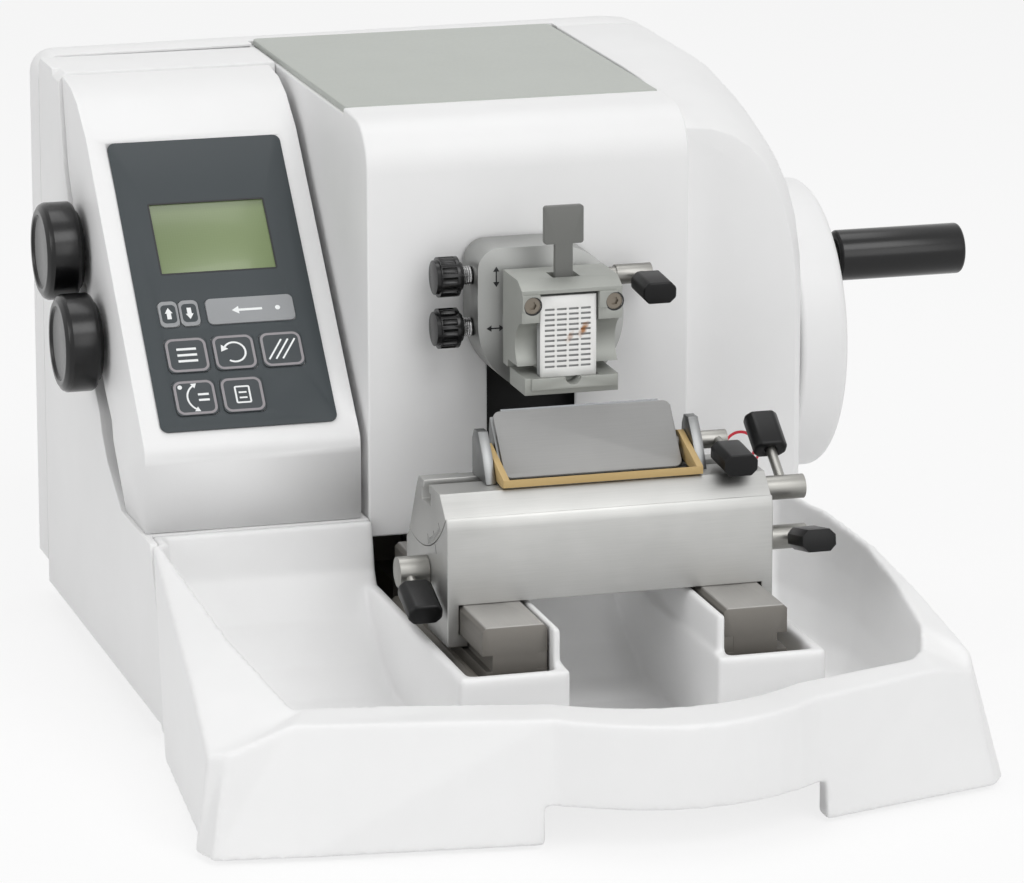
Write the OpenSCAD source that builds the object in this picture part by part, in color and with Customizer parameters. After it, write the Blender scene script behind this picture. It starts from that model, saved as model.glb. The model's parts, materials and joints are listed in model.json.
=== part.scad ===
// Rotary microtome for the histology bench.
// Frame of the sizes below: X to the right, Y to the back, Z up from the bench.
// X = 0 is the specimen axis and Y = 0 the flat front of the middle cover;
// place() then puts the origin under the middle of the whole machine.

/* [Housing] */
// From the specimen axis to the left side
left_x = 202; // [198:1:214]
// From the specimen axis to the right side wall
right_x = 160; // [156:1:170]
// Front of the middle cover to the back
rear_y = 262; // [256:1:290]
// Height over the bench
top_z = 300; // [297:1:312]
// Wall of the mouldings
wall = 3; // [2:0.5:3.5]
// Depth of the rear cover
rear_depth = 27; // [22:1:32]
// Lower edge of the middle cover
cover_low_z = 90; // [84:1:94]
// Left side of the middle cover
cover_left = 86; // [84.5:0.5:87]
// Right side of the middle cover
cover_right = 80.5; // [78:0.5:84]
// Radius over the front edge of the middle cover
brow_r = 25; // [18:1:30]
// Thickness of the grey top plate
top_plate_t = 3.5; // [2.5:0.5:4.5]
// Where the grey top plate starts
top_plate_y = 46; // [40:1:56]
// Seam between two mouldings
seam = 0.5; // [0.3:0.1:1]

/* [Console] */
// Width of the control console
console_w = 110; // [106:1:112]
// Slope of the panel
panel_tilt = 46; // [45:0.5:47]
// Width of the dark panel
panel_w = 91; // [86:1:96]
// Length of the dark panel down the slope
panel_len = 171; // [166:1:174]
// Thickness of the dark panel
panel_t = 0.8; // [0.5:0.1:1.2]
// Width of the display
lcd_w = 60; // [54:1:66]
// Height of the display
lcd_h = 42; // [36:1:44]
// Width of a square key
key_w = 21.5; // [18:0.5:22.5]
// Height of a square key
key_h = 20; // [16:0.5:21]
// Height of the keys over the panel
key_rise = 0.6; // [0.4:0.1:0.9]
// Diameter of the side knobs
side_knob_d = 50; // [42:1:54]
// Thickness of the side knobs
side_knob_t = 20; // [16:1:24]

/* [Handwheel] */
// Radius of the handwheel
wheel_r = 76.5; // [70:0.5:80]
// Thickness of the handwheel
wheel_t = 26; // [22:1:30]
// Gap from the side wall to the handwheel
wheel_gap = 4; // [2:0.5:6]
// Shaft height over the bench
shaft_z = 152; // [150:1:154]
// Shaft place behind the front of the cover
shaft_y = 140; // [136:1:146]
// Diameter of the main shaft
shaft_d = 20; // [16:1:24]
// Radius of the crank grip on the wheel
grip_throw = 60; // [56:1:62]
// Diameter of the grip
grip_d = 26.7; // [22:0.5:30]
// Length of the grip
grip_len = 72; // [60:1:84]

/* [Specimen head] */
// Vertical stroke of the specimen
stroke = 64; // [56:1:66]
// Advance of the specimen
feed = 28; // [20:1:30]
// Height of the specimen axis with the stroke at the top
head_z = 203; // [202:1:206]
// Diameter of the feed cylinder
cylinder_d = 32; // [28:1:34]
// Diameter of the round plate
head_disc_d = 75; // [72:1:78]
// Width of the cassette
cassette_w = 28.5; // [27:0.5:29]
// Height of the cassette
cassette_h = 40.5; // [39:0.5:41]
// Diameter of the orientation knobs
tilt_knob_d = 20; // [17:0.5:22]

/* [Knife holder] */
// Length of the knife holder base
base_len = 164; // [162:1:168]
// Height of the knife edge with the head at rest
edge_z = 172.5; // [171:0.5:173]
// Distance of the knife edge before the cover
edge_y = 79.5; // [79:0.5:81]
// Radius of the clearance angle segment about the edge
segment_r = 63.6; // [62:0.2:64.6]
// Width of the pressure plate
plate_w = 90; // [84:1:90]
// Slope of the pressure plate
plate_tilt = 50; // [49:0.5:51]
// Diameter of the lever shafts
lever_d = 12; // [10:0.5:13]
// Diameter of the lever rods
rod_d = 5; // [4:0.5:6]
// Height of the top of the guide rails
rail_z = 90; // [88:0.5:91]
// Distance between the guide rails, middle to middle
rail_span = 120; // [118:1:122]
// Width of a guide rail
rail_w = 32; // [30:0.5:33]

/* [Tray] */
// Left foot of the tray
tray_left = 224; // [220:1:232]
// Right foot of the tray
tray_right = 178; // [174:1:184]
// Front corners of the tray
tray_front = 240; // [236:1:250]
// How far the middle of the front bows out
tray_bow = 22; // [16:1:26]
// Rim height at the back
tray_rear_z = 100; // [97:0.5:103]
// Rim height at the front
tray_front_z = 62; // [58:1:66]
// Floor of the tray
tray_floor_z = 25; // [24:0.5:28]

/* [Hidden] */
$fn = 48;
// A little more than flush, for cuts
eps = 0.1;
// Clearance of running fits on the radius, and of pieces that move past each other
run = 0.05;
free = 0.3;

// Colours
white = "#eeeeec";
plate_grey = "#a9ada6";
cast_grey = "#7b7873";
panel_grey = "#4b5157";
key_grey = "#6d7276";
steel = "#b9b8b4";
satin = "#c3c6c8";
black = "#1b1b1c";
tan = "#dcc796";

// Bench to the casting, and the casting itself
foot_h = 12;
foot_d = 30;
slab_t = 12;
front_slab_t = 8;
tray_foot_z = 2;

// Whole machine, for the origin
wheel_x = right_x + wheel_gap;
wheel_face = wheel_x + wheel_t;
x_min = -tray_left;
x_max = wheel_face + grip_len;
y_min = -tray_front - tray_bow;
y_max = rear_y;
module place() {
    translate([-(x_min + x_max) / 2, -(y_min + y_max) / 2, 0])
        children();
}

// Points along an arc, in steps that are even in angle
function arc(c, r, a0, a1, n = 8) =
    [for (i = [0:n]) let (a = a0 + (a1 - a0) * i / n) c + r * [cos(a), sin(a)]];

// A closed outline, counter-clockwise, moved inwards by d
function inset(p, d) = [
    for (i = [0:len(p) - 1])
        let (
            n = len(p),
            u = (p[i] - p[(i + n - 1) % n]) / norm(p[i] - p[(i + n - 1) % n]),
            v = (p[(i + 1) % n] - p[i]) / norm(p[(i + 1) % n] - p[i]),
            nu = [-u[1], u[0]],
            nv = [-v[1], v[0]]
        )
        p[i] + d * (nu + nv) / (1 + nu * nv)
];

// A (y, z) outline drawn out along X, and an (x, z) outline along Y
module along_x(x0, x1) {
    translate([x0, 0, 0]) rotate([90, 0, 90]) linear_extrude(x1 - x0) children();
}
module along_y(y0, y1) {
    translate([0, y1, 0]) rotate([90, 0, 0]) linear_extrude(y1 - y0) children();
}
// A ball turned about the Y axis, with its middle on the specimen axis
module ball(r, n = 10) {
    translate([0, ball_y, head_z]) rotate([90, 0, 0]) rotate_extrude($fn = 64)
        polygon(concat([[0, -r]], arc([0, 0], r, -90 + 90 / n, 90 - 90 / n, 2 * n - 2), [[0, r]]));
}
module rod_x(x0, x1, y, z, d) {
    translate([x0, y, z]) rotate([0, 90, 0]) cylinder(d = d, h = x1 - x0);
}
module rod_y(y0, y1, x, z, d) {
    translate([x, y1, z]) rotate([90, 0, 0]) cylinder(d = d, h = y1 - y0);
}
module box(a, b) {
    translate(a) cube(b - a);
}
module rounded(w, h, r) {
    translate([-w / 2 + r, -h / 2]) square([w - 2 * r, h]);
    translate([-w / 2, -h / 2 + r]) square([w, h - 2 * r]);
    for (sx = [-1, 1], sy = [-1, 1])
        translate([sx * (w / 2 - r), sy * (h / 2 - r)]) circle(r);
}

// A closed skin over rings with the same number of points
module loft(rings) {
    n = len(rings[0]);
    last = (len(rings) - 1) * n;
    polyhedron(
        points = [for (ring = rings) each ring],
        faces = [
            [for (i = [0:n - 1]) i],
            [for (i = [0:n - 1]) last + n - 1 - i],
            for (j = [0:len(rings) - 2], i = [0:n - 1])
                let (k = (i + 1) % n, a = j * n, b = a + n)
                each [[a + i, b + i, b + k], [a + i, b + k, a + k]]
        ]
    );
}

// BASE: casting, feet and rails

rail_low_z = 62;
rail_front = 172;
rail_back = 12;
bed_out = 6;
bed_edge_z = 55;
slab_z = foot_h + slab_t;
front_slab_z = foot_h + front_slab_t;
slab_left = tray_left - 44;
slab_right = tray_right - 40;
slab_front = tray_front - 52;
// Screws of the rails, under the knife holder
rail_screw_y = [-122, -76, -30];

module base_plate() {
    color(cast_grey) place() difference() {
        union() {
            box([-left_x + 14, -14, foot_h], [right_x - 14, rear_y - rear_depth - seam, slab_z]);
            box([-slab_left, -slab_front, foot_h], [slab_right, -14 + eps, front_slab_z]);
            for (s = [-1, 1]) rail_bed(s);
        }
        for (s = [-1, 1], y = rail_screw_y)
            translate([s * rail_span / 2, y, rail_low_z - 14]) cylinder(d = 5, h = 14 + eps);
    }
}

module rail_bed(side) {
    inner = side * (rail_span / 2 - rail_w / 2 + 2);
    outer_top = side * (rail_span / 2 + rail_w / 2);
    outer_low = outer_top + side * bed_out;
    along_y(-rail_front - 8, -rail_back)
        polygon([[inner, foot_h + 2], [outer_low + side * 2, foot_h + 2],
                 [outer_low + side * 2, bed_edge_z], [outer_top, rail_low_z], [inner, rail_low_z]]);
}

foot_x = [-(left_x - 38), right_x - 36];
module rubber_feet() {
    color(black) place() for (x = foot_x, y = [-tray_front + 72, rear_y - rear_depth - 20])
        translate([x, y, 0]) {
            cylinder(d1 = foot_d - 4, d2 = foot_d, h = 3);
            translate([0, 0, 3]) cylinder(d = foot_d, h = foot_h - 3);
        }
}

rail_neck_w = 22;
rail_head_h = 14;
rail_foot_h = 6;
module guide_rails() {
    half = rail_w / 2;
    neck = rail_neck_w / 2;
    foot = rail_low_z + rail_foot_h;
    head = rail_z - rail_head_h;
    color(steel) place() for (s = [-1, 1]) translate([s * rail_span / 2, 0, 0]) difference() {
        along_y(-rail_front, -rail_back)
            polygon([[-half + 2, rail_low_z], [half, rail_low_z], [half, foot], [neck, foot], [neck, head],
                     [half, head], [half, rail_z - 2], [half - 2, rail_z], [-half + 2, rail_z],
                     [-half, rail_z - 2], [-half, head], [-neck, head], [-neck, foot], [-half + 2, foot]]);
        for (y = rail_screw_y) {
            translate([0, y, rail_low_z - eps]) cylinder(d = 5.5, h = rail_z);
            translate([0, y, rail_z - 6]) cylinder(d = 10, h = 6 + eps);
        }
    }
}

// TRAY: one skin from the foot over the rim to the floor, with two islands round the rails

bow_left = -60;
bow_right = 72;
// The bow is an arc between two creases; lean is how far its rim stands back at the ends
function swell(x) = let (t = (x - bow_left) / (bow_right - bow_left)) 4 * t * (1 - t);
function bow(y, x, lean = 0) = y + lean * (1 - swell(x)) - tray_bow * swell(x);
bow_x = [for (i = [0:10]) bow_left + (bow_right - bow_left) * i / 10];
tray_back = 18.5;
side_gap_x = left_x - wall - 1.5;
tray_rear_y = -2;
corner_z = 49;
side_foot_y = -60;
side_rim_y = -tray_back + 1;
// The slanted end of the tray's left side, and the edge of the housing that stands behind it
function side_end(z) = side_foot_y + (side_rim_y - side_foot_y) * (z - tray_foot_z + 1) / (tray_rear_z - tray_foot_z + 1);

foot_ring = concat(
    [[-left_x - 4, -62], [-tray_left + 7, -tray_front + 60], [-tray_left, -tray_front + 36],
     [-tray_left + 5, -tray_front + 20], [-180, -tray_front + 14]],
    [for (x = bow_x) [x, bow(-tray_front, x)]],
    [[115, -tray_front + 12.5], [tray_right - 8, -tray_front + 28], [tray_right, -tray_front + 40],
     [tray_right - 8, -130], [tray_right - 14, -84], [tray_right - 20, -45], [150, -20],
     [150, tray_rear_y], [-side_gap_x, tray_rear_y], [-side_gap_x, side_foot_y]]
);
foot_z = [for (p = foot_ring) tray_foot_z - 1];
// Below the bench side of the foot the outline loses its notch, and all of that is cut off again
root_ring = [for (i = [0:len(foot_ring) - 1]) foot_ring[i] - [i < len(foot_ring) - 2 ? 0 : left_x - side_gap_x + 4, 0]];
root_z = [for (p = foot_ring) tray_foot_z - 3];
rim_ring = concat(
    [[-left_x + 1, -tray_back], [-left_x - 11, -150], [-left_x - 16, -tray_front + 36],
     [-left_x - 8, -tray_front + 31], [-178, -tray_front + 36]],
    [for (x = bow_x) [x, bow(-tray_front, x, 5)]],
    [[139, -tray_front + 32], [160, -tray_front + 38], [163, -tray_front + 50],
     [158, -125], [152, -84], [142, -45], [134, -20],
     [132, tray_rear_y], [-side_gap_x, tray_rear_y], [-side_gap_x, side_rim_y]]
);
rim_z = concat(
    [tray_rear_z, tray_front_z + 6, corner_z, corner_z + 1, tray_front_z - 2],
    [for (x = bow_x) tray_front_z],
    [tray_front_z, tray_front_z - 4, tray_front_z + 3,
     80, 90, tray_rear_z - 2, tray_rear_z, tray_rear_z, tray_rear_z, tray_rear_z]
);
inner_ring = concat(
    [[-left_x + 5, -tray_back - 2], [-187, -120], [-172, -tray_front + 55],
     [-170, -tray_front + 56], [-164, -tray_front + 55]],
    [for (x = bow_x) [x * 0.93 + 1, bow(-tray_front + 28, x)]],
    [[132, -tray_front + 49], [140, -tray_front + 56], [146, -tray_front + 74],
     [149, -120], [147, -80], [138, -44], [131, -20],
     [128, tray_rear_y - 3], [-side_gap_x + 5, tray_rear_y - 3], [-side_gap_x + 5, -tray_back]]
);
inner_z = concat(
    [tray_rear_z, 80, tray_front_z + 1, tray_front_z + 1, tray_front_z + 1],
    [for (x = bow_x) tray_front_z + 1.5],
    [tray_front_z + 1.5, tray_front_z + 4, 73, 82, 91, tray_rear_z - 2, tray_rear_z,
     tray_rear_z, tray_rear_z, tray_rear_z]
);
floor_ring = concat(
    [[-160, -105], [-158, -130], [-152, -tray_front + 72],
     [-148, -tray_front + 70], [-142, -tray_front + 69]],
    [for (x = bow_x) [x * 0.88 + 2, bow(-tray_front + 46, x)]],
    [[112, -tray_front + 64], [117, -tray_front + 68], [121, -tray_front + 80],
     [122, -130], [120, -115], [112, -104], [104, -100],
     [96, -98], [-150, -98], [-156, -101]]
);
function at_height(ring, z) = [for (i = [0:len(ring) - 1]) [ring[i][0], ring[i][1], z[i]]];
// The bowl falls steeply under the rim and runs out flat on the floor
function bowl(t) = [
    for (i = [0:len(inner_ring) - 1])
        let (p = inner_ring[i] + (floor_ring[i] - inner_ring[i]) * (1 - cos(90 * t)))
        [p[0], p[1], inner_z[i] - (inner_z[i] - tray_floor_z) * sin(90 * t)]
];

pocket_gap = 1.2;
foot_wall = 13;
island_wall = 6;
island_z = 70;
module pocket_outline(side, grow) {
    inner = rail_span / 2 - rail_w / 2 - grow;
    outer = rail_span / 2 + rail_w / 2 + bed_out + 2 + grow;
    x0 = side > 0 ? inner : -outer;
    translate([x0, -rail_front - 8 - grow]) square([outer - inner, rail_front + 8 + grow - rail_back + 12]);
}

module section_tray() {
    color(white) place() difference() {
        union() {
            loft(concat(
                [at_height(root_ring, root_z), at_height(foot_ring, foot_z), at_height(rim_ring, rim_z),
                 at_height(inner_ring, inner_z)],
                [for (i = [1:4]) bowl(i / 5)],
                [at_height(floor_ring, [for (p = floor_ring) tray_floor_z])]
            ));
            for (s = [-1, 1]) intersection() {
                translate([0, 0, tray_floor_z - 2]) linear_extrude(island_z - tray_floor_z + 2)
                    pocket_outline(s, pocket_gap + island_wall);
                box([-120, -rail_front - 30, 0], [120, -16, top_z]);
            }
            // Ledge that runs back under the right shoulder of the housing
            along_y(tray_rear_y - eps, shoulder[0][0] - seam)
                polygon([[cover_right + seam, tray_foot_z], [150, tray_foot_z], [132, tray_rear_z],
                         [cover_right + seam, tray_rear_z]]);
            for (s = [-1, 1]) let (x = s * (rail_span / 2 - rail_w / 2 - pocket_gap - 2))
                box([x - 2, -rail_front - 6, tray_floor_z], [x + 2, -16, rail_z - 1.2]);
        }
        for (s = [-1, 1]) translate([0, 0, -eps]) linear_extrude(top_z)
            pocket_outline(s, pocket_gap);
        box([-tray_left - 1, y_min - 1, tray_foot_z - 4], [tray_right + 1, 20, tray_foot_z]);
        // Hollow underneath
        translate([0, 0, -eps]) linear_extrude(front_slab_z + free + eps) polygon(inset(foot_ring, foot_wall));
        box([-slab_left - free, -slab_front - free, -eps], [slab_right + free, 20, front_slab_z + free]);
        box([-side_gap_x - 1, -14 - free, -eps], [right_x - 14 + free, 20, slab_z + free]);
        // Raised lip under the bow of the front
        translate([0, 0, -eps]) linear_extrude(21 + eps) polygon(concat(
            [[bow_left - 4, -tray_front + 34], [bow_left - 4, -tray_front - 40],
             [bow_right + 2, -tray_front - 40], [bow_right + 2, -tray_front + 34]],
            [for (i = [len(bow_x) - 2:-1:1]) [bow_x[i], bow(-tray_front + 32, bow_x[i]) + 6]]
        ));
        // Room for the foot of the middle cover and the housing
        box([-cover_left - seam, -3.2, cover_low_z - seam], [cover_right + seam, 2, top_z]);
    }
}

// LEFT HOUSING AND CONSOLE

console_gap = 1;
console_left = left_x - 2;
console_right = console_left - console_w;
panel_y0 = 31;
panel_z0 = 175;
function on_panel(s) = [panel_y0 + s * cos(panel_tilt), panel_z0 + s * sin(panel_tilt)];
panel_low_s = -36;
panel_top_s = panel_low_s + panel_len;
roof_y = 186;
console_low_z = tray_rear_z + seam;

// Under edge of the console as seen from the side, from its foot up to the roof
console_back = [[45, console_low_z], [62, 118], [73, 130], [76, 140], [91, 152],
                [110, 172], [150, 215], [172, 250], [roof_y - 2, top_z - 3]];
console_face = concat(
    [[0, console_low_z]],
    arc([9, 138.5], 9, 180, 90 + panel_tilt, 4),
    [on_panel(panel_top_s + 4)],
    [[148, 289], [163, 294.5], [roof_y - 2, top_z - 3]]
);
function without_last(p) = [for (i = [0:len(p) - 2]) p[i]];
console_side = concat(
    without_last(console_back),
    [for (i = [len(console_face) - 1:-1:0]) console_face[i]]
);
// The housing stands back from the console low down, which leaves a dark crescent
housing_edge = [[48, tray_rear_z], [80, 118], [92, 130], [97, 140], [110, 152],
                [122, 172], [153, 215], [174, 250], [roof_y, top_z - 2]];
housing_side = concat(
    [[side_end(foot_h + 1) + seam, foot_h + 1], [rear_y - rear_depth - seam, foot_h + 1], [rear_y - rear_depth - seam, top_z - 6],
     [rear_y - rear_depth - seam - 4, top_z - 2]],
    [for (i = [len(housing_edge) - 1:-1:0]) housing_edge[i]],
    [[side_end(tray_rear_z) + seam, tray_rear_z]]
);

module left_housing() {
    color(white) place() difference() {
        along_x(-left_x, -cover_left - seam) polygon(housing_side);
        along_x(-left_x + wall, -cover_left) polygon(inset(housing_side, wall));
        // Roof and side meet in a small bevel
        translate([-left_x, -100, top_z - 2]) rotate([0, 45, 0]) cube([6, 600, 6], center = true);
        // The tray fills the front corner
        box([-left_x + wall + 1, -100, 0], [-cover_left, -2 + seam, tray_rear_z + 30]);
        box([-left_x + 14 - 1, -14 - eps, 0], [0, rear_y, slab_z + free]);
    }
}

knob_upper = [141, 214.6];
knob_lower = [99, 176];
spindle_d = 10;

module console_housing() {
    color(white) place() difference() {
        along_x(-console_left, -console_right) polygon(console_side);
        along_x(-console_left + wall, -console_right - wall) polygon(inset(console_side, wall));
        // Open towards the housing
        along_x(-console_left + wall, -console_right - wall)
            polygon(concat([[60, console_low_z - 5], [200, console_low_z - 5], [200, top_z - 8], [roof_y - 12, top_z - 8]],
                           [for (i = [7:-1:1]) console_back[i] + [-6, 3]]));
        for (k = [knob_upper, knob_lower])
            rod_x(-console_left - eps, -console_left + wall + eps, k[0], k[1], spindle_d + 2 * run);
        // Seats of the dark panel, the display and the keys
        on_slope(0, -eps) translate([-panel_w / 2, panel_low_s, 0]) cube([panel_w, panel_len, 3]);
        on_slope(0, -wall - 2) translate([-lcd_w / 2 - 2, lcd_s, 0]) cube([lcd_w + 4, lcd_h, 8]);
        for (k = keys) on_slope(0, -wall - 2) translate([k[0], k[1], 0])
            translate([-k[2] / 2 + 3, -k[3] / 2 + 3, 0]) cube([k[2] - 6, k[3] - 6, 8]);
        along_x(-console_left + wall + 6, -console_right + eps)
            polygon([[30, console_low_z - 1], [120, console_low_z - 1], [120, 160], [92, 150], [76, 136], [60, 116], [40, console_low_z + 6]]);
    }
}

// Puts things on the panel: x from its middle, y up the slope, z out of it
console_mid = -(console_left + console_right) / 2;
module on_slope(x, out) {
    translate([console_mid + x, panel_y0, panel_z0]) rotate([panel_tilt, 0, 0]) translate([0, 0, out])
        children();
}

lcd_s = 55;
// Keys: place across and up the panel, width and height
pair_w = 10;
bar_w = 45;
bar_h = 15;
col = [-24.8, -0.6, 23.8];
row_s = [31.6, 7.4, -17.2];
keys = [
    [col[0] - pair_w / 2 - 0.3, row_s[0], pair_w, bar_h], [col[0] + pair_w / 2 + 0.3, row_s[0], pair_w, bar_h],
    [col[1] + 12.4, row_s[0], bar_w, bar_h], [col[0], row_s[1], key_w, key_h],
    [col[1], row_s[1], key_w, key_h], [col[2], row_s[1], key_w, key_h],
    [col[0], row_s[2], key_w, key_h], [col[1], row_s[2], key_w, key_h]
];
key_gap = 0.2;

module keypad_panel() {
    color(panel_grey) place() on_slope(0, 0) difference() {
        translate([0, panel_low_s + panel_len / 2, 0]) linear_extrude(panel_t) rounded(panel_w - 1, panel_len - 1, 4);
        translate([-lcd_w / 2, lcd_s, -eps]) cube([lcd_w, lcd_h, 2]);
        for (k = keys) translate([k[0], k[1], -eps]) linear_extrude(2)
            rounded(k[2] + 2 * key_gap, k[3] + 2 * key_gap, 3);
    }
}

module display_window() {
    color("#8f9a5c") place() on_slope(0, -wall) {
        translate([-lcd_w / 2 + key_gap, lcd_s + key_gap, -seam - eps])
            cube([lcd_w - 2 * key_gap, lcd_h - 2 * key_gap, wall + panel_t + seam + eps - 0.3]);
        translate([-lcd_w / 2 - 6, lcd_s - 4, -6]) cube([lcd_w + 12, lcd_h + 8, 6 - seam]);
    }
}

// A key is a cap with a short stem through the console skin
module key(i) {
    k = keys[i];
    color(key_grey) place() on_slope(k[0], 0) translate([0, k[1], 0]) {
        translate([0, 0, 0.45]) linear_extrude(panel_t - 0.45 + key_rise) rounded(k[2], k[3], 3);
        translate([-k[2] / 2 + 3.3, -k[3] / 2 + 3.3, -wall - 1]) cube([k[2] - 6.6, k[3] - 6.6, wall + 1.5]);
    }
}
module key_up() { key(0); }
module key_down() { key(1); }
module key_retraction() { key(2); }
module key_menu() { key(3); }
module key_cycle() { key(4); }
module key_trim() { key(5); }
module key_rock() { key(6); }
module key_memo() { key(7); }

// A turned cap: bevelled rim, sunk disc in its end, spindle into the console
module side_knob(at) {
    r = side_knob_d / 2;
    x = -left_x - seam;
    color(black) place() translate([x, at[0], at[1]]) rotate([0, -90, 0]) union() {
        rotate_extrude($fn = 64)
            polygon([[0, 0], [r - 5, 0], [r - 4, 2], [r - 1, 2.5], [r, 4], [r, side_knob_t - 3.5],
                     [r - 1, side_knob_t - 1.5], [r - 3.5, side_knob_t], [r - 6, side_knob_t],
                     [r - 6.5, side_knob_t - 1.2], [0, side_knob_t - 1.2]]);
        translate([0, 0, -wall - 10]) cylinder(d = spindle_d, h = wall + 10 + eps);
    }
}
module upper_knob() { side_knob(knob_upper); }
module lower_knob() { side_knob(knob_lower); }

// MIDDLE COVER

slot_w = 46;
slot_top = head_z + cylinder_d / 2 + 1.5;
slot_low = head_z - stroke - cylinder_d / 2 - 3;
deck_z = top_z - top_plate_t;
cover_back = rear_y - rear_depth - seam;
cover_side = concat(
    [[0, cover_low_z], [cover_back, cover_low_z], [cover_back, deck_z], [top_plate_y, deck_z], [top_plate_y, top_z],
     [brow_r + 15, top_z]],
    arc([brow_r, top_z - brow_r - 1], brow_r, 88, 180, 10)
);
module front_cover() {
    color(white) place() difference() {
        along_x(-cover_left, cover_right) polygon(cover_side);
        along_x(-cover_left + wall, cover_right - wall) polygon(inset(cover_side, wall));
        box([-cover_left + wall, wall, 0], [cover_right - wall, rear_y, cover_low_z + 10]);
        box([-cover_left + wall, cover_back - 10, 0], [cover_right - wall, rear_y, deck_z - wall]);
        box([-slot_w / 2 - 1.5, -1, slot_low], [slot_w / 2 - 1.5, wall + 1, slot_top]);
        // The right wall gives way to the shaft and the frame
        box([0, 60, 0], [cover_right + 1, cover_back + 1, 240]);
        // The left wall is open towards the console
        box([-cover_left - 1, 196, 0], [0, cover_back + 1, 280]);
        // The front of the frame stands under the lower edge
        box([-cover_left - 1, 30, 0], [cover_right + 1, cover_back + 1, cover_low_z + 12]);
    }
}

module top_plate() {
    margin = 1.5;
    y0 = top_plate_y + seam;
    y1 = rear_y - rear_depth + 9;
    color(plate_grey) place() translate([(cover_right - cover_left) / 2, (y0 + y1) / 2, deck_z])
        linear_extrude(top_plate_t) rounded(cover_left + cover_right - 2 * margin, y1 - y0, 3);
}

// RIGHT HOUSING: sections across the machine whose shoulder grows towards the back

shoulder = [
    // distance back, side wall, start of the curve, end of the curve, roof
    [17, right_x - 16, 182, cover_right + 2, top_z - 14],
    [24, right_x - 11.5, 184, cover_right + 2.5, top_z - 10],
    [38, right_x - 6.5, 186, cover_right + 3, top_z - 6.5],
    [60, right_x - 3, 188, cover_right + 5, top_z - 3],
    [85, right_x - 0.8, 192, cover_right + 10, top_z - 0.8],
    [115, right_x, 199, cover_right + 20, top_z],
    [150, right_x, 208, cover_right + 30, top_z],
    [rear_y - rear_depth - seam, right_x, 212, cover_right + 32, top_z]
];
bulge = 2.5;
steps = 9;
function section(s, t) = let (
    left = cover_right + seam + t,
    low = foot_h + 1 + t,
    x1 = s[1] - t,
    z0 = s[2],
    x0 = s[3] + t,
    z1 = s[4] - t
) concat(
    [[left, low], [left, z1]],
    [for (i = [0:steps]) let (a = 90 - 90 * i / steps)
        [x0 + (x1 - x0) * pow(cos(a), 2 / bulge), z0 + (z1 - z0) * pow(max(sin(a), 0), 2 / bulge)]],
    [[x1, low]]
);
function stations(t, y_front) = [
    for (i = [0:len(shoulder) - 1])
        let (s = shoulder[i], y = i == 0 ? s[0] + y_front : s[0])
        [for (p = section(s, t)) [p[0], y, p[1]]]
];
shaft_hole_d = shaft_d + 6;
module right_housing() {
    color(white) place() difference() {
        loft(stations(0, 0));
        // Hollow from behind the front skin to the open back and the open left side
        loft(concat(stations(wall + 0.5, wall),
                    [[for (p = section(shoulder[len(shoulder) - 1], wall + 0.5)) [p[0], rear_y, p[1]]]]));
        box([0, 30, 0], [cover_right + 10, rear_y, 240]);
        box([0, 0, 0], [right_x - 14 + 1, rear_y, slab_z + free]);
        rod_x(right_x - 30, right_x + eps, shaft_y, shaft_z, shaft_hole_d);
    }
}

// REAR COVER

module rear_outline(t) {
    r = 12;
    s = shoulder[len(shoulder) - 1];
    half = [for (i = [0:steps]) let (a = 90 - 90 * i / steps)
        [s[3] + (s[1] - s[3]) * pow(cos(a), 2 / bulge), s[2] + (s[4] - s[2]) * pow(max(sin(a), 0), 2 / bulge)]];
    whole = concat(
        [[-left_x, foot_h + 13], [-left_x + 12, foot_h + 1], [right_x, foot_h + 1]],
        [for (i = [steps:-1:0]) half[i]],
        arc([-left_x + r, top_z - 2 - r], r, 90, 180, 6)
    );
    polygon(inset(whole, t));
}
inlet_x = -118;
inlet_z = 62;
inlet_w = 48;
inlet_h = 58;
module rear_cover() {
    y0 = rear_y - rear_depth;
    lip = 4;
    color(white) place() difference() {
        union() {
            along_y(y0, rear_y - lip) rear_outline(0);
            along_y(rear_y - lip - eps, rear_y - lip / 2) rear_outline(1.2);
            along_y(rear_y - lip / 2 - eps, rear_y) rear_outline(3.5);
        }
        along_y(y0 - eps, rear_y - lip - wall) rear_outline(wall);
        along_y(y0 - eps, y0 + 2.5) rear_outline(1);
        box([-cover_left - 1, y0 - eps, deck_z - free], [cover_right + 1, y0 + 9 + seam, top_z + 1]);
        box([inlet_x - inlet_w / 2, rear_y - 20, inlet_z - inlet_h / 2],
            [inlet_x + inlet_w / 2, rear_y + 1, inlet_z + inlet_h / 2]);
        // Cooling slots
        for (i = [0:7]) translate([40 + i * 9, rear_y - 10, 190]) along_y(-6, 12) rounded(4, 46, 1.9);
    }
}

switch_w = 13;
switch_h = 19;
module power_inlet() {
    y1 = rear_y + 1;
    color(black) place() difference() {
        union() {
            box([inlet_x - inlet_w / 2 + free, rear_y - 24, inlet_z - inlet_h / 2 + free],
                [inlet_x + inlet_w / 2 - free, rear_y, inlet_z + inlet_h / 2 - free]);
            translate([inlet_x, 0, inlet_z]) along_y(rear_y - 4 - wall - 2, rear_y - 4 - wall)
                square([inlet_w + 8, inlet_h + 8], center = true);
        }
        // Recess for the mains plug, with the corners cut at its top
        translate([inlet_x, 0, inlet_z - 12]) along_y(rear_y - 16, y1)
            polygon([[-11.5, -8], [11.5, -8], [11.5, 4], [7.5, 8], [-7.5, 8], [-11.5, 4]]);
        box([inlet_x - switch_w / 2 - free, rear_y - 14, inlet_z + 16 - switch_h / 2 - free],
            [inlet_x + switch_w / 2 + free, y1, inlet_z + 16 + switch_h / 2 + free]);
    }
}

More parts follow.
